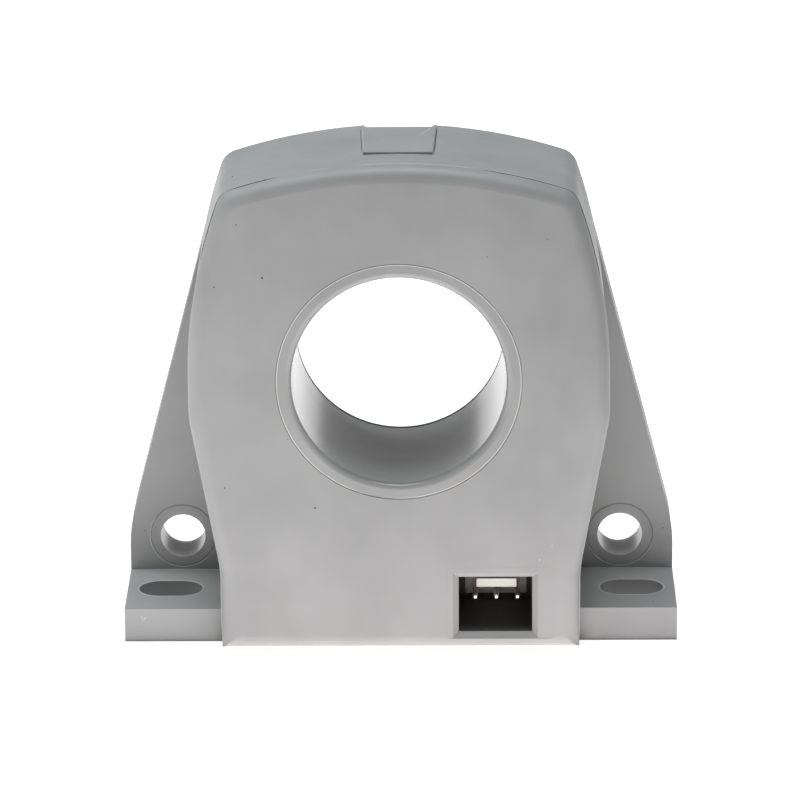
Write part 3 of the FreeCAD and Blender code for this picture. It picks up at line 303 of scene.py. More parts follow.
    def finish(self, colour: object, roughness: object, normal: Socket, **constants: float) -> Material:
        """Joins the patterns to a surface shader.

        Args:
            colour: base colour or the socket that gives it.
            roughness: roughness or the socket that gives it.
            normal: relief.
            constants: other shader sockets, with underscores for spaces.

        Returns:
            The finished material.
        """
        shader = self.add("ShaderNodeBsdfPrincipled")
        for name, value in constants.items():
            shader.inputs[name.replace("_", " ")].default_value = value
        for name, value in (("Base Color", colour), ("Roughness", roughness), ("Normal", normal)):
            self.feed(shader.inputs[name], value)
        self.surface(shader.outputs["BSDF"])
        return self.owner


@dataclass(frozen=True)
class MouldedPlastic:
    """Moulded plastic with clouded colour, fine grain, faint sink marks and small dark specks.

    A polished wall is a round opening along the depth: its x, z and radius in
    millimetres, and the roughness of its wall, which has no grain.
    """

    name: str
    colour: Triple
    roughness: float = 0.48
    mottle: float = 0.035
    grain: float = 0.012
    sink: float = 0.03
    specks: float = 0.0
    gloss: float = 0.5
    polished: tuple[tuple[float, float, float, float], ...] = ()
    cloud_scale: float = 70.0
    streak_scale: float = 260.0
    wear_scale: float = 180.0
    sink_scale: float = 55.0
    grain_scale: float = 2600.0
    speck_scale: float = 210.0
    speck_colour: Triple = (0.22, 0.21, 0.2)

    def build(self) -> Material:
        """Makes the material.

        Returns:
            The material.
        """
        board = NodeBoard(bpy.data.materials.new(self.name))
        pale = linear(tuple(min(1.0, value + self.mottle) for value in self.colour))
        dark = linear(tuple(max(0.0, value - self.mottle) for value in self.colour))
        clouds = board.ramp(board.noise(self.cloud_scale, 3.0, 0.55), 0.0, 1.0)
        colour = board.blend(clouds, dark, pale)
        long_clouds = board.noise(self.streak_scale, stretch=(1.0, 1.0, 0.25))
        streaks = board.ramp(long_clouds, 0.0, 0.45, 0.35, 0.75)
        colour = board.blend(streaks, colour, linear(self.colour))
        if self.specks:
            spot = board.ramp(board.cells(self.speck_scale), 0.65, 0.0, self.specks * 0.6, self.specks)
            colour = board.blend(spot, colour, linear(self.speck_colour))
        wear = board.noise(self.wear_scale, 3.0, 0.6)
        roughness = board.ramp(wear, self.roughness - 0.05, self.roughness + 0.06)
        waves = board.bump(board.noise(self.sink_scale, 1.0), self.sink * MM)
        grained = None
        for x, z, radius, polish in self.polished:
            near, far = (radius + POLISH_NEAR) * MM, (radius + POLISH_FAR) * MM
            outside = board.ramp(board.reach(x, z), 0.0, 1.0, near, far)
            grained = outside if grained is None else board.times(grained, outside)
            rough = board.add("ShaderNodeMix", {"Factor": outside, "B": roughness}, sockets={"A": polish})
            roughness = rough.outputs["Result"]
        normal = board.bump(board.noise(self.grain_scale, 2.0, 0.6), self.grain * MM, waves, grained)
        return board.finish(colour, roughness, normal, Specular_IOR_Level=self.gloss)


@dataclass(frozen=True)
class BareMetal:
    """Metal with drawn lines, uneven polish and a slight change of tone."""

    name: str
    colour: Triple
    roughness: float = 0.3
    lines: Triple = (1.0, 0.05, 1.0)
    relief: float = 0.004
    line_scale: float = 3000.0
    tone_scale: float = 400.0
    darkest: float = 0.86

    def build(self) -> Material:
        """Makes the material.

        Returns:
            The material.
        """
        board = NodeBoard(bpy.data.materials.new(self.name))
        drawn = board.noise(self.line_scale, 2.0, 0.6, self.lines)
        tone = board.ramp(board.noise(self.tone_scale), 0.0, 1.0)
        colour = board.blend(tone, linear(self.colour, self.darkest), linear(self.colour))
        roughness = board.ramp(drawn, self.roughness - 0.08, self.roughness + 0.1)
        return board.finish(colour, roughness, board.bump(drawn, self.relief * MM), Metallic=1.0)


@dataclass(frozen=True)
class WoundWire:
    """Enamelled wire: close ridges that run across the ring, copper under a clear coat, with painted shade
    darkening the grooves between the ridges.
    """

    name: str
    colour: Triple
    ridge_scale: float = 285.714286
    ridge_wander: float = 1.2
    ridge_height: float = 0.08
    darkest: float = 0.55

    def build(self) -> Material:
        """Makes the material.

        Returns:
            The material.
        """
        board = NodeBoard(bpy.data.materials.new(self.name))
        ridges = board.bands("Z", self.ridge_scale, self.ridge_wander)
        # Painted shade: the colour darkens in the grooves between the ridges
        tone = board.ramp(ridges, 0.0, 1.0, 0.0, 1.0)
        colour = board.blend(tone, linear(self.colour, self.darkest), linear(self.colour))
        roughness = board.ramp(board.noise(900.0), 0.25, 0.42)
        normal = board.bump(ridges, self.ridge_height * MM)
        return board.finish(colour, roughness, normal, Metallic=0.75, Coat_Weight=0.5)


@dataclass(frozen=True)
class CastResin:
    """Cast potting resin: dark, half glossy, with slow waves and small pinholes."""

    name: str
    colour: Triple
    mottle: float = 0.035
    wave_height: float = 0.12
    hole_scale: float = 240.0
    hole_depth: float = 0.08

    def build(self) -> Material:
        """Makes the material.

        Returns:
            The material.
        """
        board = NodeBoard(bpy.data.materials.new(self.name))
        clouds = board.ramp(board.noise(90.0, 4.0, 0.6), 0.0, 1.0)
        lighter = linear(tuple(value + self.mottle for value in self.colour))
        colour = board.blend(clouds, linear(self.colour), lighter)
        roughness = board.ramp(board.noise(120.0, 3.0), 0.24, 0.42)
        waves = board.bump(board.noise(80.0), self.wave_height * MM)
        hole = board.ramp(board.cells(self.hole_scale), 0.0, 1.0, 0.03, 0.09)
        normal = board.bump(hole, self.hole_depth * MM, waves)
        return board.finish(colour, roughness, normal, Coat_Weight=0.2, Coat_Roughness=0.2)


@dataclass(frozen=True)
class SolderMask:
    """Circuit board under its lacquer, with the weave of the glass just showing."""

    name: str
    colour: Triple
    weave_scale: float = 300.0
    weave_height: float = 0.01
    lightest: float = 1.25

    def build(self) -> Material:
        """Makes the material.

        Returns:
            The material.
        """
        board = NodeBoard(bpy.data.materials.new(self.name))
        weave = board.times(board.bands("X", self.weave_scale), board.bands("Z", self.weave_scale))
        colour = board.blend(weave, linear(self.colour), linear(self.colour, self.lightest))
        roughness = board.ramp(board.noise(300.0), 0.3, 0.45)
        return board.finish(colour, roughness, board.bump(weave, self.weave_height * MM), Coat_Weight=0.3)


@dataclass(frozen=True)
class Backdrop:
    """Pale floor that keeps the shadow and looks white to the camera and in reflections."""

    name: str = "pale_floor"
    colour: Triple = (0.88, 0.88, 0.88)
    lift: float = 0.75
    mirrored: float = 1.0
    tint: Triple = (1.0, 0.972, 0.955)

    def build(self) -> Material:
        """Makes the material: a dull floor, with brightness added for the camera and for reflections.

        Returns:
            The material.
        """
        board = NodeBoard(bpy.data.materials.new(self.name))
        cloth = board.ramp(board.noise(14.0), 0.7, 0.9)
        dull = board.add("ShaderNodeBsdfDiffuse", {"Roughness": cloth},
                         sockets={"Color": linear(self.colour)})
        glow = board.add("ShaderNodeEmission", {"Strength": seen_rays(board, self.lift, self.mirrored)},
                         sockets={"Color": (*self.tint, 1.0)})
        both = board.add("ShaderNodeAddShader", {0: dull.outputs["BSDF"], 1: glow.outputs["Emission"]})
        board.surface(both.outputs["Shader"])
        return board.owner


def seen_rays(board: NodeBoard, strength: float, mirrored: float) -> Socket:
    """Brightness that only the camera, reflections and clear parts see.

    Args:
        board: node tree that holds the switch.
        strength: brightness for the camera and through clear parts.
        mirrored: brightness for reflections.

    Returns:
        The brightness for each ray.
    """
    paths = board.add("ShaderNodeLightPath")
    total = board.times(paths.outputs[Shade.CAMERA.value], strength)
    for shade, share in ((Shade.GLOSSY, mirrored), (Shade.TRANSMISSION, strength)):
        part = board.times(paths.outputs[shade.value], share)
        total = board.add("ShaderNodeMath", {0: total, 1: part}, operation="MAXIMUM").outputs["Value"]
    return total


def new_object(name: str, points: Array, faces: Array, smooth: bool = True) -> bpy.types.Object:
    """Puts whole arrays of points and faces into a new piece at the origin.

    Args:
        name: name of the piece.
        points: x, y and z of each point, in metres.
        faces: point numbers of each face.
        smooth: whether its faces are shaded smooth.

    Returns:
        The new piece, linked to the scene.
    """
    mesh = bpy.data.meshes.new(name)
    mesh.from_pydata(points.tolist(), [], faces.tolist())
    mesh.polygons.foreach_set("use_smooth", np.full(len(mesh.polygons), smooth))
    mesh.update()
    piece = bpy.data.objects.new(name, mesh)
    bpy.context.scene.collection.objects.link(piece)
    return piece


def grid_faces(rows: int, columns: int, closed_rows: bool) -> Array:
    """Faces of a grid of points that are numbered row by row, where each row closes on itself.

    Args:
        rows: number of rows of points.
        columns: number of points in a row.
        closed_rows: whether the last row joins the first.

    Returns:
        Three point numbers of each face, two faces for each field of the grid.
    """
    across = np.arange(rows if closed_rows else rows - 1)
    first, second = np.meshgrid(across, np.arange(columns), indexing="ij")
    start = first * columns
    after = (first + 1) % rows * columns
    beside = (second + 1) % columns
    corners = (start + second, start + beside, after + beside, after + second)
    fields = np.stack(corners, axis=-1).reshape(-1, 4)
    return np.concatenate((fields[:, (0, 1, 2)], fields[:, (0, 2, 3)]))


@dataclass(frozen=True)
class CaseOutline:
    """Front outline of the case, as the solid has it, in millimetres and degrees."""

    body_width: float = 50.0
    body_height: float = 60.31
    base_width: float = 43.1
    knee_height: float = 9.81
    side_taper: float = 10.2
    side_radius: float = 65.0
    top_radius: float = 64.0
    corner_radius: float = 2.7
    bore_height: float = 33.91
    front: float = -11.575
    top_draft: float = 1.7
    side_samples: int = 6001
    top_samples: int = 2001
    half_samples: int = 4001

    def half_width(self, height: Array) -> Array:
        """Half width at each height: upright, then leaning out, upright again, then the barrel arc.

        Args:
            height: heights over the base.

        Returns:
            Half widths.
        """
        lean = self.base_width / 2 + (height - self.knee_height) * math.tan(math.radians(self.side_taper))
        low = np.clip(lean, self.base_width / 2, self.body_width / 2)
        rise = np.clip(height - self.bore_height, 0.0, self.side_radius)
        arc = self.body_width / 2 - self.side_radius + np.sqrt(self.side_radius ** 2 - rise ** 2)
        return np.where(height > self.bore_height, arc, low)

    def crown(self, across: Array, behind: float | Array) -> Array:
        """Height of the arched top: a circle whose crown falls towards the back.

        Args:
            across: distances from the middle.
            behind: distances behind the front face.

        Returns:
            Heights over the base.
        """
        top = self.body_height - behind * math.tan(math.radians(self.top_draft))
        return top - self.top_radius + np.sqrt(self.top_radius ** 2 - across ** 2)

    def path(self, behind: float, samples: int) -> Array:
        """Line up one side, over the rounded corners and the top, and down the other.

        The half outline runs up the side until it meets the arch, the corner
        between both is rounded by averaging the line over the bend's length, and
        its mirror image closes it.

        Args:
            behind: distance behind the front face.
            samples: points on the whole line.

        Returns:
            One row of x and z for each point, evenly spaced.
        """
        heights = np.linspace(0.0, self.body_height, self.side_samples)
        side = self.half_width(heights)
        below = heights < self.crown(side, behind)
        side_points = np.stack((side[below], heights[below]), axis=1)
        across = np.linspace(side_points[-1, 0], 0.0, self.top_samples)[1:]
        top_points = np.stack((across, self.crown(across, behind)), axis=1)
        half = even_spacing(np.concatenate((side_points, top_points)), self.half_samples)
        step = np.linalg.norm(half[1] - half[0])
        window = int(0.5 * self.corner_radius / step)
        kernel = np.ones(2 * window + 1) / (2 * window + 1)
        soft = half.copy()
        for axis in (0, 1):
            soft[window:-window, axis] = np.convolve(half[:, axis], kernel, mode="valid")
        mirrored = soft[::-1][1:] * (-1.0, 1.0)
        return even_spacing(np.concatenate((soft, mirrored)), samples)


def even_spacing(points: Array, count: int) -> Array:
    """Places points at equal distances along a line.

    Args:
        points: the line's points, one to a row.
        count: how many points to give back.

    Returns:
        The new points, one to a row.
    """
    steps = np.linalg.norm(np.diff(points, axis=0), axis=1)
    reach = np.concatenate(([0.0], np.cumsum(steps)))
    wanted = np.linspace(0.0, reach[-1], count)
    return np.stack([np.interp(wanted, reach, column) for column in points.T], axis=1)


def whole_turn(count: int) -> Array:
    """Even steps of a whole turn, in radians."""
    return np.linspace(0.0, 2.0 * math.pi, count, endpoint=False)


def directions(path: Array, closed: bool) -> Array:
    """Way that a path takes at each point: from the point before to the point after, at length one.

    Args:
        path: x, y and z of each path point.
        closed: whether the path closes on itself.

    Returns:
        One direction for each path point.
    """
    if closed:
        way = np.roll(path, -1, axis=0) - np.roll(path, 1, axis=0)
    else:
        way = np.gradient(path, axis=0)
    return way / np.linalg.norm(way, axis=1)[:, None]


def carry_profile(path: Array, profile: Array, normal: Array, outward: Array,
                  closed: bool) -> Mesh:
    """Carries a small closed profile along a path.

    Each profile point is a distance along the outward direction and one along
    the fixed normal, added to each path point. The profile shrinks towards open
    ends, which are closed by faces to its middle.

    Args:
        path: x, y and z of each path point, in metres.
        profile: outward and normal distance of each profile point, in metres.
        normal: fixed direction across the path.
        outward: one direction for each path point.
        closed: whether the path closes on itself.

    Returns:
        Points and faces of the swept piece.
    """
    steps = np.arange(len(path))
    from_end = np.minimum(steps, steps[::-1])
    taper = np.ones(len(path)) if closed else np.clip(from_end / TAPER_STEPS, TAPER_TIP, 1.0)
    sweep = profile[None, :, 0, None] * outward[:, None, :] + profile[None, :, 1, None] * normal
    rows = path[:, None, :] + taper[:, None, None] * sweep
    points = rows.reshape(-1, 3)
    count = len(profile)
    faces = grid_faces(len(path), count, closed)
    if closed:
        return points, faces
    ring = np.arange(count)
    following = (ring + 1) % count
    last_row = (len(path) - 1) * count
    first_middle = np.full(count, len(points))
    start = np.stack((first_middle, following, ring), axis=1)
    finish = np.stack((first_middle + 1, last_row + ring, last_row + following), axis=1)
    middles = rows[[0, -1]].mean(axis=1)
    return np.concatenate((points, middles)), np.concatenate((faces, start, finish))


def bead(width: float, height: float, root: float) -> Array:
    """Oval bead whose root is sunk in the face that it stands on.

    Args:
        width: whole width in millimetres.
        height: height over the face in millimetres.
        root: depth of its root in millimetres.

    Returns:
        Outward and sideways distance of each point, in metres.
    """
    turn = whole_turn(BEAD_SIDES)
    out = (height + root) / 2 * np.sin(turn) + (height - root) / 2
    side = width / 2 * np.cos(turn)
    return np.stack((out, side), axis=1) * MM


def joined(name: str, meshes: list[Mesh]) -> bpy.types.Object:
    """One piece from several closed meshes.

    Args:
        name: name of the piece.
        meshes: points and faces of each mesh.

    Returns:
        The piece, with its faces turned outwards.
    """
    points = []
    faces = []
    count = 0
    for mesh_points, mesh_faces in meshes:
        points.append(mesh_points)
        faces.append(mesh_faces + count)
        count += len(mesh_points)
    piece = new_object(name, np.concatenate(points), np.concatenate(faces))
    close_poles(piece)
    return piece


def close_poles(piece: bpy.types.Object) -> None:
    """Merges points that lie on each other and turns all faces outwards.

    Args:
        piece: piece whose mesh is mended.
    """
    work = bmesh.new()
    work.from_mesh(piece.data)
    bmesh.ops.remove_doubles(work, verts=work.verts, dist=MERGE_REACH)
    bmesh.ops.dissolve_degenerate(work, edges=work.edges, dist=SHORTEST_EDGE)
    bmesh.ops.recalc_face_normals(work, faces=work.faces)
    work.to_mesh(piece.data)
    work.free()


@dataclass(frozen=True)
class Arc:
    """Fine line along part of a circle on a face, in millimetres and degrees."""

    face: Face
    x: float
    z: float
    radius: float
    start: float
    stop: float
    width: float = 0.12
    rise: float = 0.02
    step: float = 2.5
    closed: bool = False

    def flat(self) -> Array:
        """Points on the circle, evenly turned.

        Returns:
            Two coordinates of each point.
        """
        count = int((self.stop - self.start) / self.step)
        turn = np.radians(np.linspace(self.start, self.stop, count))
        return np.stack((self.x + self.radius * np.cos(turn), self.z + self.radius * np.sin(turn)), axis=1)


@dataclass(frozen=True)
class Stroke:
    """Fine straight line on a face from one place to another, in millimetres."""

    face: Face
    start: tuple[float, float]
    stop: tuple[float, float]
    width: float = 0.12
    rise: float = 0.02
    wander: float = 0.0
    closed: bool = False
    samples: int = 32

    def flat(self) -> Array:
        """Points on the line; each is moved aside by a sum of two sines of its place.

        Returns:
            Two coordinates of each point.
        """
        first = np.array(self.start)
        way = np.array(self.stop) - first
        share = np.linspace(0.0, 1.0, self.samples)[:, None]
        aside = np.array((-way[1], way[0])) / np.linalg.norm(way)
        sway = np.sin(9.0 * share) + 0.5 * np.sin(23.0 * share + 1.0)
        return first + share * way + self.wander * sway * aside


@dataclass(frozen=True)
class SlotRim:
    """Fine line round a foot slot: two half circles joined by straight lines, in millimetres."""

    x: float
    y: float
    half_length: float = 3.97
    radius: float = 2.72
    width: float = 0.24
    rise: float = 0.03
    face: Face = Face.FOOT_TOP
    closed: bool = True
    samples: int = 96

    def flat(self) -> Array:
        """Points on the rim: a circle whose halves are moved apart.

        Returns:
            Two coordinates of each point.
        """
        turn = whole_turn(self.samples)
        apart = np.sign(np.cos(turn)) * (self.half_length - self.radius)
        x = self.x + apart + self.radius * np.cos(turn)
        return np.stack((x, self.y + self.radius * np.sin(turn)), axis=1)


@dataclass(frozen=True)
class InsertRim:
    """Line of the mould insert round the socket: a rectangle with rounded corners, in millimetres."""

    left: float = 5.62
    right: float = 18.4
    low: float = 1.47
    high: float = 10.48
    roundness: float = 0.06
    width: float = 0.12
    rise: float = 0.02
    face: Face = Face.FRONT
    closed: bool = True
    samples: int = 240

    def flat(self) -> Array:
        """Points on the rectangle: an oval whose cosine and sine are raised to a small power.

        Returns:
            Two coordinates of each point, evenly spaced.
        """
        turn = whole_turn(self.samples)
        wave = np.stack((np.cos(turn), np.sin(turn)), axis=1)
        low = np.array((self.left, self.low))
        high = np.array((self.right, self.high))
        loop = np.sign(wave) * np.abs(wave) ** self.roundness * (high - low) / 2 + (low + high) / 2
        return even_spacing(np.concatenate((loop, loop[:1])), self.samples + 1)[:-1]


@dataclass(frozen=True)
class Stretch:
    """Part of the parting line, from one share of its way to another, right foot to left foot.

    The setback behind the front face, the width and the height are in millimetres.
    """

    start: float
    stop: float
    setback: float
    width: float
    height: float = 0.03


@dataclass(frozen=True)
class PartingLinesAndRimShade:
    """Lines round the case where the mould parts, and a bead at the back of the bore that carries painted
    shade, in millimetres.
    """

    outline: CaseOutline = field(default_factory=CaseOutline)
    samples: int = 480
    inside_height: float = 30.0
    root: float = 0.08
    rim_radius: float = 12.75
    rim_behind: float = 21.4
    rim_width: float = 0.75
    rim_rise: float = 0.03
    rim_root: float = 0.06
    rim_samples: int = 180

    def parting(self, stretch: Stretch) -> Mesh:
        """Bead along one part of the edge where the rounded front meets the sides and the top.

        It stands away from a point inside the outline.

        Args:
            stretch: the part.

        Returns:
            Points and faces of the bead.
        """
        flat = self.outline.path(stretch.setback, self.samples) * MM
        depth = (self.outline.front + stretch.setback) * MM
        path = np.stack((flat[:, 0], np.full(len(flat), depth), flat[:, 1]), axis=1)
        outward = np.cross(BACKWARDS, directions(path, closed=False))
        inside = (0.0, depth, self.inside_height * MM)
        outward *= np.sign(np.sum(outward * (path - inside), axis=1))[:, None]
        part = slice(int(stretch.start * self.samples), int(stretch.stop * self.samples))
        shape = bead(stretch.width, stretch.height, self.root)
        return carry_profile(path[part], shape, BACKWARDS, outward[part], closed=False)

    def bore_rim(self) -> Mesh:
        """Bead round the wall of the bore at its back edge, dark with painted shade: a circle whose profile
        stands towards the axis.

        Returns:
            Points and faces of the bead.
        """
        turn = whole_turn(self.rim_samples)
        radial = np.stack((np.cos(turn), np.zeros_like(turn), np.sin(turn)), axis=1)
        middle = np.array((0.0, self.outline.front + self.rim_behind, self.outline.bore_height))
        path = (middle + self.rim_radius * radial) * MM
        shape = bead(self.rim_width, self.rim_rise, self.rim_root)
        return carry_profile(path, shape, BACKWARDS, -radial, closed=True)


@dataclass(frozen=True)
class Mark:
    """One small mark: its place on a face, half its length and half its width, in millimetres."""

    face: Face
    x: float
    z: float
    long: float
    wide: float
    turn: float = 0.0


@dataclass(frozen=True)
class SurfaceMarks:
    """Small inclusions, scuffs and fine lines on the faces of the moulding, in millimetres; the pale fine
    lines carry painted highlights and the dark ones painted shade.
    """

    outline: CaseOutline = field(default_factory=CaseOutline)
    foot_front: float = -8.225
    foot_top: float = 4.15
    wing: float = 5.975
    pad_setback: float = 6.8
    pad_height: float = 60.278
    pad_fall: float = 0.0443
    rise: float = 0.012
    sunk: float = 0.03
    line_root: float = 0.05
    dome_sides: int = 12

    def spot(self, face: Face, across: Array, along: Array, lift: Array | float) -> Array:
        """Points on a face, lifted off it.

        The second coordinate is the height on upright faces, the distance behind
        the front face on the top and its pad, and the place along the depth on
        the feet.

        Args:
            face: the face.
            across: places across the width.
            along: second coordinates.
            lift: how far the points stand off the face.

        Returns:
            One x, y and z for each point, in metres.
        """
        upright = {Face.FRONT: self.outline.front, Face.FOOT_FRONT: self.foot_front, Face.WING: self.wing}
        if face in upright:
            parts = (across, upright[face] - lift, along)
        elif face is Face.FOOT_TOP:
            parts = (across, along, self.foot_top + lift)
        elif face is Face.PAD:
            fall = (along - self.pad_setback) * self.pad_fall
            parts = (across, self.outline.front + along, self.pad_height - fall + lift)
        else:
            parts = (across, self.outline.front + along, self.outline.crown(across, along) + lift)
        return np.stack(np.broadcast_arrays(*parts), axis=-1) * MM

    def line(self, course: Arc | Stroke | SlotRim | InsertRim) -> Mesh:
        """Low bead along a fine line.

        Args:
            course: the line.

        Returns:
            Points and faces of the bead.
        """
        flat = course.flat()
        path = self.spot(course.face, flat[:, 0], flat[:, 1], 0.0)
        normal = course.face.normal
        aside = np.cross(normal, directions(path, course.closed))
        shape = bead(course.width, course.rise, self.line_root)[:, ::-1]
        return carry_profile(path, shape, normal, aside, course.closed)

    def dome(self, mark: Mark, number: int) -> Mesh:
        """Flat dome of one mark.

        The dome is a grid over the turn and the share of the radius; its height
        is one minus the square of that share, and its root lies under the face.
        Two sines of the turn, shifted by the number, make its outline uneven.

        Args:
            mark: the mark.
            number: gives the mark an outline of its own.

        Returns:
            Points and faces of the dome.
        """
        turns = whole_turn(self.dome_sides)
        shares = np.array((0.0, 0.5, 0.85, 1.0, 0.6, 0.0))
        heights = np.array((1.0, 0.75, 0.28, 0.0, -1.0, -1.0))[:, None]
        wobble = 1.0 + 0.18 * np.sin(3 * turns + number) + 0.1 * np.sin(5 * turns + 2 * number)
        along = np.outer(shares, np.cos(turns) * wobble) * mark.long
        across = np.outer(shares, np.sin(turns) * wobble) * mark.wide
        angle = math.radians(mark.turn)
        x = mark.x + along * math.cos(angle) - across * math.sin(angle)
        z = mark.z + along * math.sin(angle) + across * math.cos(angle)
        lift = np.where(heights > 0, heights * self.rise, heights * self.sunk)
        points = self.spot(mark.face, x, z, lift)
        return points.reshape(-1, 3), grid_faces(len(shares), len(turns), False)


@dataclass(frozen=True)
class PhotoCamera:
    """Camera at the photograph's place, in degrees and millimetres."""

    elevation: float = 18.16
    roll: float = -0.404
    yaw: float = -0.593
    distance: float = 609.7
    target: Triple = (0.134, -11.575, 31.737)
    focal_pixels: float = 5145.6
    picture: int = 800
    sensor: float = 36.0
    nearest: float = 10.0
    farthest: float = 20000.0

    def place(self) -> None:
        """Adds the camera and makes it the scene's own."""
        tilt, lean, turn = (math.radians(value) for value in (self.elevation, self.roll, self.yaw))
        ahead = Vector((math.sin(turn) * math.cos(tilt), math.cos(turn) * math.cos(tilt), -math.sin(tilt)))
        right = Vector((math.cos(turn), -math.sin(turn), 0.0))
        above = right.cross(ahead)
        level = right * math.cos(lean) + above * math.sin(lean)
        upright = above * math.cos(lean) - right * math.sin(lean)
        data = bpy.data.cameras.new("photo_camera")
        data.sensor_width = self.sensor
        data.lens = self.focal_pixels / self.picture * self.sensor
        data.clip_start = self.nearest * MM
        data.clip_end = self.farthest * MM
        camera = bpy.data.objects.new("photo_camera", data)
        axes = Matrix((level, upright, -ahead)).transposed().to_4x4()
        spot = (Vector(self.target) - ahead * self.distance) * MM
        camera.matrix_world = Matrix.Translation(spot) @ axes
        bpy.context.scene.collection.objects.link(camera)
        bpy.context.scene.camera = camera


def hang_lamp(name: str, place: Triple, turn: Triple, **settings: object) -> None:
    """Adds one flat lamp.

    Args:
        name: name of the lamp.
        place: place of its middle in metres.
        turn: its turns about the three axes in radians.
        settings: its shape, sides, power and tint, by Blender's names.
    """
    data = bpy.data.lights.new(name, "AREA")
    for setting, value in settings.items():
        setattr(data, setting, value)
    lamp = bpy.data.objects.new(name, data)
    lamp.location = place
    lamp.rotation_euler = turn
    bpy.context.scene.collection.objects.link(lamp)


@dataclass(frozen=True)
class SoftBox:
    """One square lamp overhead: its place, side, power, tint and aim, in metres and watts."""

    name: str
    place: Triple
    side: float
    power: float
    tint: Triple
    aim: Triple = (0.0, 0.0, 0.03)

    def build(self) -> None:
        """Adds the lamp, turned towards its aim."""
        turn = (Vector(self.aim) - Vector(self.place)).to_track_quat("-Z", "Y").to_euler()
        hang_lamp(self.name, self.place, turn, shape="SQUARE", size=self.side, energy=self.power,
                  color=self.tint)


@dataclass(frozen=True)
class TablePlate:
    """Flat lamp that lies on the table and shines up: its sides in millimetres and how bright it is."""

    name: str
    left: float
    right: float
    near: float
    far: float
    brightness: float
    height: float = 0.02
    tint: Triple = (1.0, 0.955, 0.965)

    def build(self) -> None:
        """Adds the lamp, with the power that gives it its brightness: pi times the area for each unit."""
        width = (self.right - self.left) * MM
        depth = (self.far - self.near) * MM
        place = ((self.left + self.right) / 2 * MM, (self.near + self.far) / 2 * MM, self.height * MM)
        hang_lamp(self.name, place, (math.pi, 0.0, 0.0), shape="RECTANGLE", size=width, size_y=depth,
                  energy=self.brightness * math.pi * width * depth, color=self.tint)


@dataclass(frozen=True)
class Studio:
    """Soft lamps overhead, plates that light the part from the table, a white sky and the floor."""

    lamps: tuple[SoftBox | TablePlate, ...] = (
        SoftBox("top_box", (0.0, -0.05, 0.9), 0.5, 4.45, (0.945, 1.0, 1.035)),
        SoftBox("top_front_box", (0.0, -0.2, 0.9), 0.4, 0.9, (0.96, 1.0, 1.02)),
        SoftBox("top_left_box", (-0.5, 0.1, 0.7), 0.4, 1.98, (0.95, 1.0, 1.03)),
        TablePlate("left_plate", -100.0, -22.2, -140.0, -12.2, 1.72),
        TablePlate("middle_plate", -22.2, 22.2, -140.0, -12.2, 1.7),
        TablePlate("right_plate", 22.2, 100.0, -140.0, -12.2, 1.64),
        TablePlate("left_foot_plate", -100.0, -22.2, -12.2, -8.6, 0.96),
        TablePlate("right_foot_plate", 22.2, 100.0, -12.2, -8.6, 1.18),
        TablePlate("far_left_plate", -300.0, -100.0, -140.0, 50.0, 1.63),
        TablePlate("back_plate", -80.0, 80.0, 13.0, 173.0, 0.22),
        TablePlate("front_edge_plate", -21.4, 21.4, -12.2, -9.9, 1.2),
        TablePlate("right_slot_plate", 25.2, 31.0, -3.1, 1.1, 0.39),
    )
    glossy_sky: float = 0.5
    floor_size: float = 3.0

    def light(self) -> None:
        """Adds the lamps, the sky and the floor."""
        for lamp in self.lamps:
            lamp.build()
        self.sky_light()
        self.floor()

    def sky_light(self) -> None:
        """Sky that is white to the camera, half as bright in reflections and gives no light of its own."""
        world = bpy.data.worlds.new("pale_sky")
        board = NodeBoard(world, "ShaderNodeOutputWorld")
        sky = board.add("ShaderNodeBackground", {"Strength": seen_rays(board, 1.0, self.glossy_sky)},
                        sockets={"Color": (1.0, 1.0, 1.0, 1.0)})
        board.surface(sky.outputs["Background"])
        bpy.context.scene.world = world

    def floor(self) -> None:
        """Flat floor under the feet."""
        half = self.floor_size / 2
        corners = np.array(((-half, -half, 0.0), (half, -half, 0.0), (half, half, 0.0), (-half, half, 0.0)))
        floor = new_object("studio_floor", corners, np.array(((0, 1, 2, 3),)), smooth=False)
        floor.data.materials.append(Backdrop().build())


# Round openings with a smooth wall, the bore and both wing holes: x, z, radius and roughness
SMOOTH_WALLS = ((0.0, 33.91, 12.75, 0.2), (-26.875, 8.52, 2.75, 0.3), (26.875, 8.52, 2.75, 0.3))

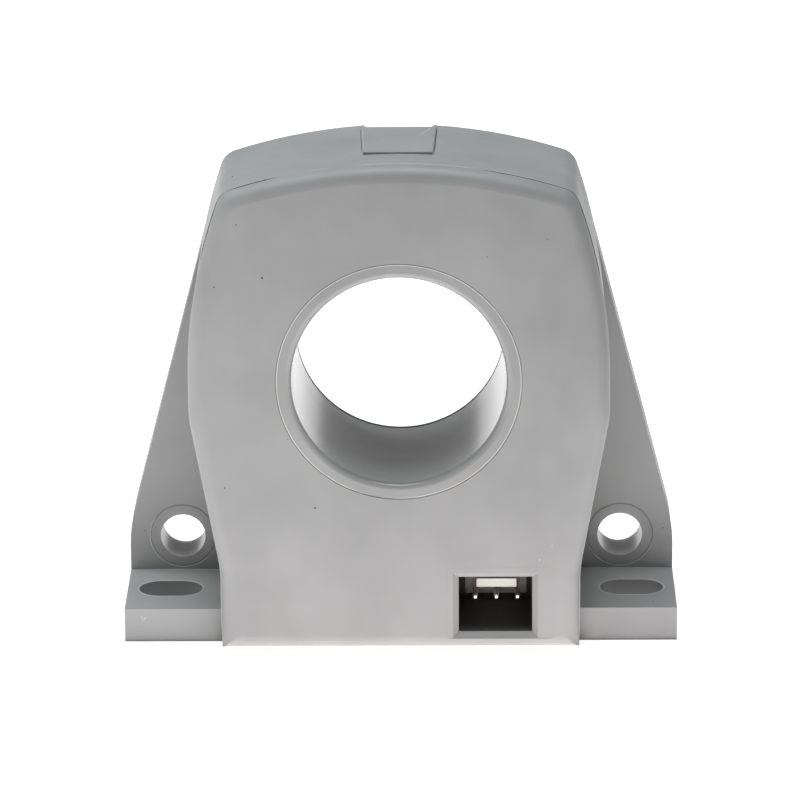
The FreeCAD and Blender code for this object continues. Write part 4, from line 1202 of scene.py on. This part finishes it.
FINISHES = {
    "case": MouldedPlastic("case_light_grey", (0.63, 0.63, 0.625), specks=0.03, polished=SMOOTH_WALLS),
    "speck": MouldedPlastic("burnt_speck", (0.2, 0.19, 0.18), roughness=0.6),
    # Pale colour: real scuffs, and painted highlight on the lower edges of the witness rings
    "scuff_and_highlight": MouldedPlastic("pale_scuff_and_highlight", (0.86, 0.86, 0.85), roughness=0.6),
    # Pale line colour: painted highlight where the parting line bead and small edges catch the light
    "highlight_line": MouldedPlastic("pale_painted_highlight_line", (0.74, 0.74, 0.735), roughness=0.55),
    # Grey line colour: painted shade in the groove along the parting line and beside the pad
    "shade_line": MouldedPlastic("grey_painted_shade_line", (0.28, 0.275, 0.27), roughness=0.7, gloss=0.1),
    # Grey rim colour: painted shade on the rounded back edge of the bore
    "rim_painted_shade": MouldedPlastic("grey_rim_painted_shade", (0.4, 0.4, 0.395), roughness=0.8, gloss=0.0),
    "bobbin": MouldedPlastic("bobbin_black", (0.12, 0.12, 0.12)),
    "shroud": MouldedPlastic("shroud_dark", (0.34, 0.33, 0.32), roughness=0.55, mottle=0.01),
    "header": MouldedPlastic("header_off_white", (0.95, 0.935, 0.9), roughness=0.36, mottle=0.015),
    "chip": MouldedPlastic("chip_black", (0.09, 0.09, 0.095), roughness=0.5, mottle=0.012),
    "resistor": MouldedPlastic("resistor_glaze", (0.1, 0.1, 0.11), roughness=0.25, mottle=0.01),
    "tape": MouldedPlastic("amber_tape", (0.82, 0.6, 0.16), roughness=0.22, mottle=0.03),
    "core": BareMetal("strip_steel", (0.5, 0.5, 0.51), 0.38, (1.0, 1.0, 0.1)),
    "pin": BareMetal("tinned_brass", (0.86, 0.85, 0.82), 0.26),
    "can": BareMetal("drawn_can", (0.78, 0.78, 0.8), 0.3),
    "wire": WoundWire("enamelled_wire", (0.78, 0.36, 0.16)),
    "resin": CastResin("potting_resin_dark", (0.2, 0.2, 0.205)),
    "board": SolderMask("board_green", (0.1, 0.33, 0.17)),
}

# Parting line stretches whose pale colour is a painted highlight
PARTING_HIGHLIGHTS = (
    Stretch(0.006, 0.29, 1.85, 0.24, 0.08), Stretch(0.29, 0.365, 2.35, 0.35, 0.05),
    Stretch(0.365, 0.438, 2.15, 0.25), Stretch(0.438, 0.535, 1.9, 0.4, 0.04),
    Stretch(0.545, 0.575, 1.9, 0.2, 0.015), Stretch(0.72, 0.994, 1.85, 0.24, 0.08),
)
# Parting line stretches whose dark colour is painted shade
PARTING_SHADE = (
    Stretch(0.29, 0.368, 1.85, 0.34, 0.06), Stretch(0.36, 0.438, 1.8, 0.24, 0.02),
    Stretch(0.588, 0.637, 1.85, 0.28, 0.035), Stretch(0.63, 0.694, 1.85, 0.34, 0.06),
)
# Painted highlight along the lower edges of the witness rings round the bore and the wing holes
RING_HIGHLIGHTS = (
    Arc(Face.FRONT, 0.0, 33.91, 14.49, -99.0, 258.0),
    Arc(Face.WING, -26.875, 8.52, 4.07, 140.0, 330.0, 0.1),
    Arc(Face.WING, 26.875, 8.52, 4.07, 200.0, 345.0, 0.1),
)
# Painted highlights along the rims of the slots, the edges of the pad and its arrow, and the corner between
# each wing and its foot
EDGE_HIGHLIGHTS = (
    SlotRim(-28.125, -0.975), SlotRim(28.125, -0.975),
    Stroke(Face.PAD, (-4.02, 7.0), (-4.38, 21.3)),
    Stroke(Face.PAD, (-0.5, 8.6), (-3.59, 19.2), 0.08, 0.004, 0.02),
    Stroke(Face.PAD, (2.66, 15.87), (3.92, 20.2), 0.18),
    Stroke(Face.PAD, (0.6, 8.9), (2.66, 15.87), 0.06, 0.003, 0.02),
    Stroke(Face.FOOT_TOP, (-31.5, 5.9), (-22.6, 5.9), 0.14),
    Stroke(Face.FOOT_TOP, (22.6, 5.9), (31.5, 5.9), 0.14),
)
# Painted shade beside the pad
PAD_SIDE_SHADE = (
    Stroke(Face.TOP, (-4.24, 7.0), (-4.62, 21.3), 0.08), Stroke(Face.TOP, (4.26, 7.0), (4.64, 21.3), 0.14),
)
SPECKS = (
    Mark(Face.FRONT, -21.66, 45.76, 0.09, 0.07), Mark(Face.FRONT, -20.86, 20.78, 0.09, 0.07, 30.0),
    Mark(Face.FRONT, -10.1, 18.21, 0.13, 0.1, 40.0), Mark(Face.FRONT, -18.94, 53.4, 0.1, 0.07),
    Mark(Face.FRONT, -16.0, 46.9, 0.16, 0.11, 70.0), Mark(Face.FRONT, 10.47, 49.36, 0.06, 0.09),
    Mark(Face.TOP, -15.6, 1.95, 0.15, 0.3), Mark(Face.TOP, -19.63, 8.23, 0.12, 0.2),
    Mark(Face.TOP, 6.23, 21.2, 0.08, 0.12), Mark(Face.FOOT_TOP, 30.62, -6.03, 0.09, 0.14),
    Mark(Face.WING, -31.6, 9.17, 0.1, 0.06), Mark(Face.WING, 32.2, 9.32, 0.06, 0.09),
)
SCUFFS = (
    Mark(Face.FRONT, 16.71, 11.52, 0.06, 0.13), Mark(Face.FRONT, 18.19, 13.29, 0.05, 0.08),
    Mark(Face.FOOT_FRONT, -30.9, 2.98, 0.17, 0.07, 50.0),
    Mark(Face.FOOT_FRONT, -31.3, 3.05, 0.28, 0.025, -60.0),
    Mark(Face.FOOT_FRONT, -31.15, 2.7, 0.22, 0.02, 20.0),
)


@dataclass(frozen=True)
class SolidFinishes:
    """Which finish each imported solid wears, by the start of its name."""

    by_prefix: tuple[tuple[str, str], ...] = (
        ("housing", "case"), ("ring_core", "core"), ("front_bobbin", "bobbin"), ("rear_bobbin", "bobbin"),
        ("secondary_winding", "wire"), ("winding_tape", "tape"), ("hall_element", "chip"),
        ("circuit_board", "board"), ("connector_shroud", "shroud"), ("connector_header", "header"),
        ("connector_pin", "pin"), ("supply_capacitor", "can"), ("amplifier_chip", "chip"),
        ("output_transistor", "chip"), ("clamp_diode", "chip"), ("resistor", "resistor"),
        ("potting_resin", "resin"),
    )

    def dress(self, solids: dict[str, bpy.types.Object], finishes: dict[str, Material]) -> None:
        """Gives every solid its finish.

        Args:
            solids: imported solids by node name.
            finishes: built materials by name.
        """
        for name, solid in solids.items():
            key = next(finish for prefix, finish in self.by_prefix if name.startswith(prefix))
            if not solid.material_slots:
                solid.data.materials.append(finishes[key])
            for slot in solid.material_slots:
                slot.material = finishes[key]
            log.info("solid %s wears %s", name, key)


def main() -> None:
    """Builds the looks in order."""
    logging.basicConfig(level=logging.INFO, format="%(name)s: %(message)s")
    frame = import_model()
    bpy.context.scene.view_settings.view_transform = "Standard"
    PhotoCamera().place()
    Studio().light()
    finishes = {name: finish.build() for name, finish in FINISHES.items()}
    SolidFinishes().dress(frame["nodes"], finishes)
    mould = PartingLinesAndRimShade()
    marks = SurfaceMarks()
    pieces = (
        ("socket_insert_line", "case", [marks.line(InsertRim())]),
        ("parting_line_painted_highlight", "highlight_line", [mould.parting(part) for part in PARTING_HIGHLIGHTS]),
        ("parting_line_painted_shade", "shade_line", [mould.parting(part) for part in PARTING_SHADE]),
        ("bore_rim_painted_shade", "rim_painted_shade", [mould.bore_rim()]),
        ("ring_painted_highlights", "scuff_and_highlight", [marks.line(course) for course in RING_HIGHLIGHTS]),
        ("edge_painted_highlights", "highlight_line", [marks.line(course) for course in EDGE_HIGHLIGHTS]),
        ("pad_side_painted_shade", "shade_line", [marks.line(course) for course in PAD_SIDE_SHADE]),
        ("burnt_specks", "speck", [marks.dome(mark, number) for number, mark in enumerate(SPECKS)]),
        ("pale_scuffs", "scuff_and_highlight", [marks.dome(mark, number) for number, mark in enumerate(SCUFFS)]),
    )
    for name, finish, meshes in pieces:
        piece = joined(name, meshes)
        piece.data.materials.append(finishes[finish])
        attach(piece, "root")
        log.info("piece %s", piece.name)


if __name__ == "__main__":
    main()
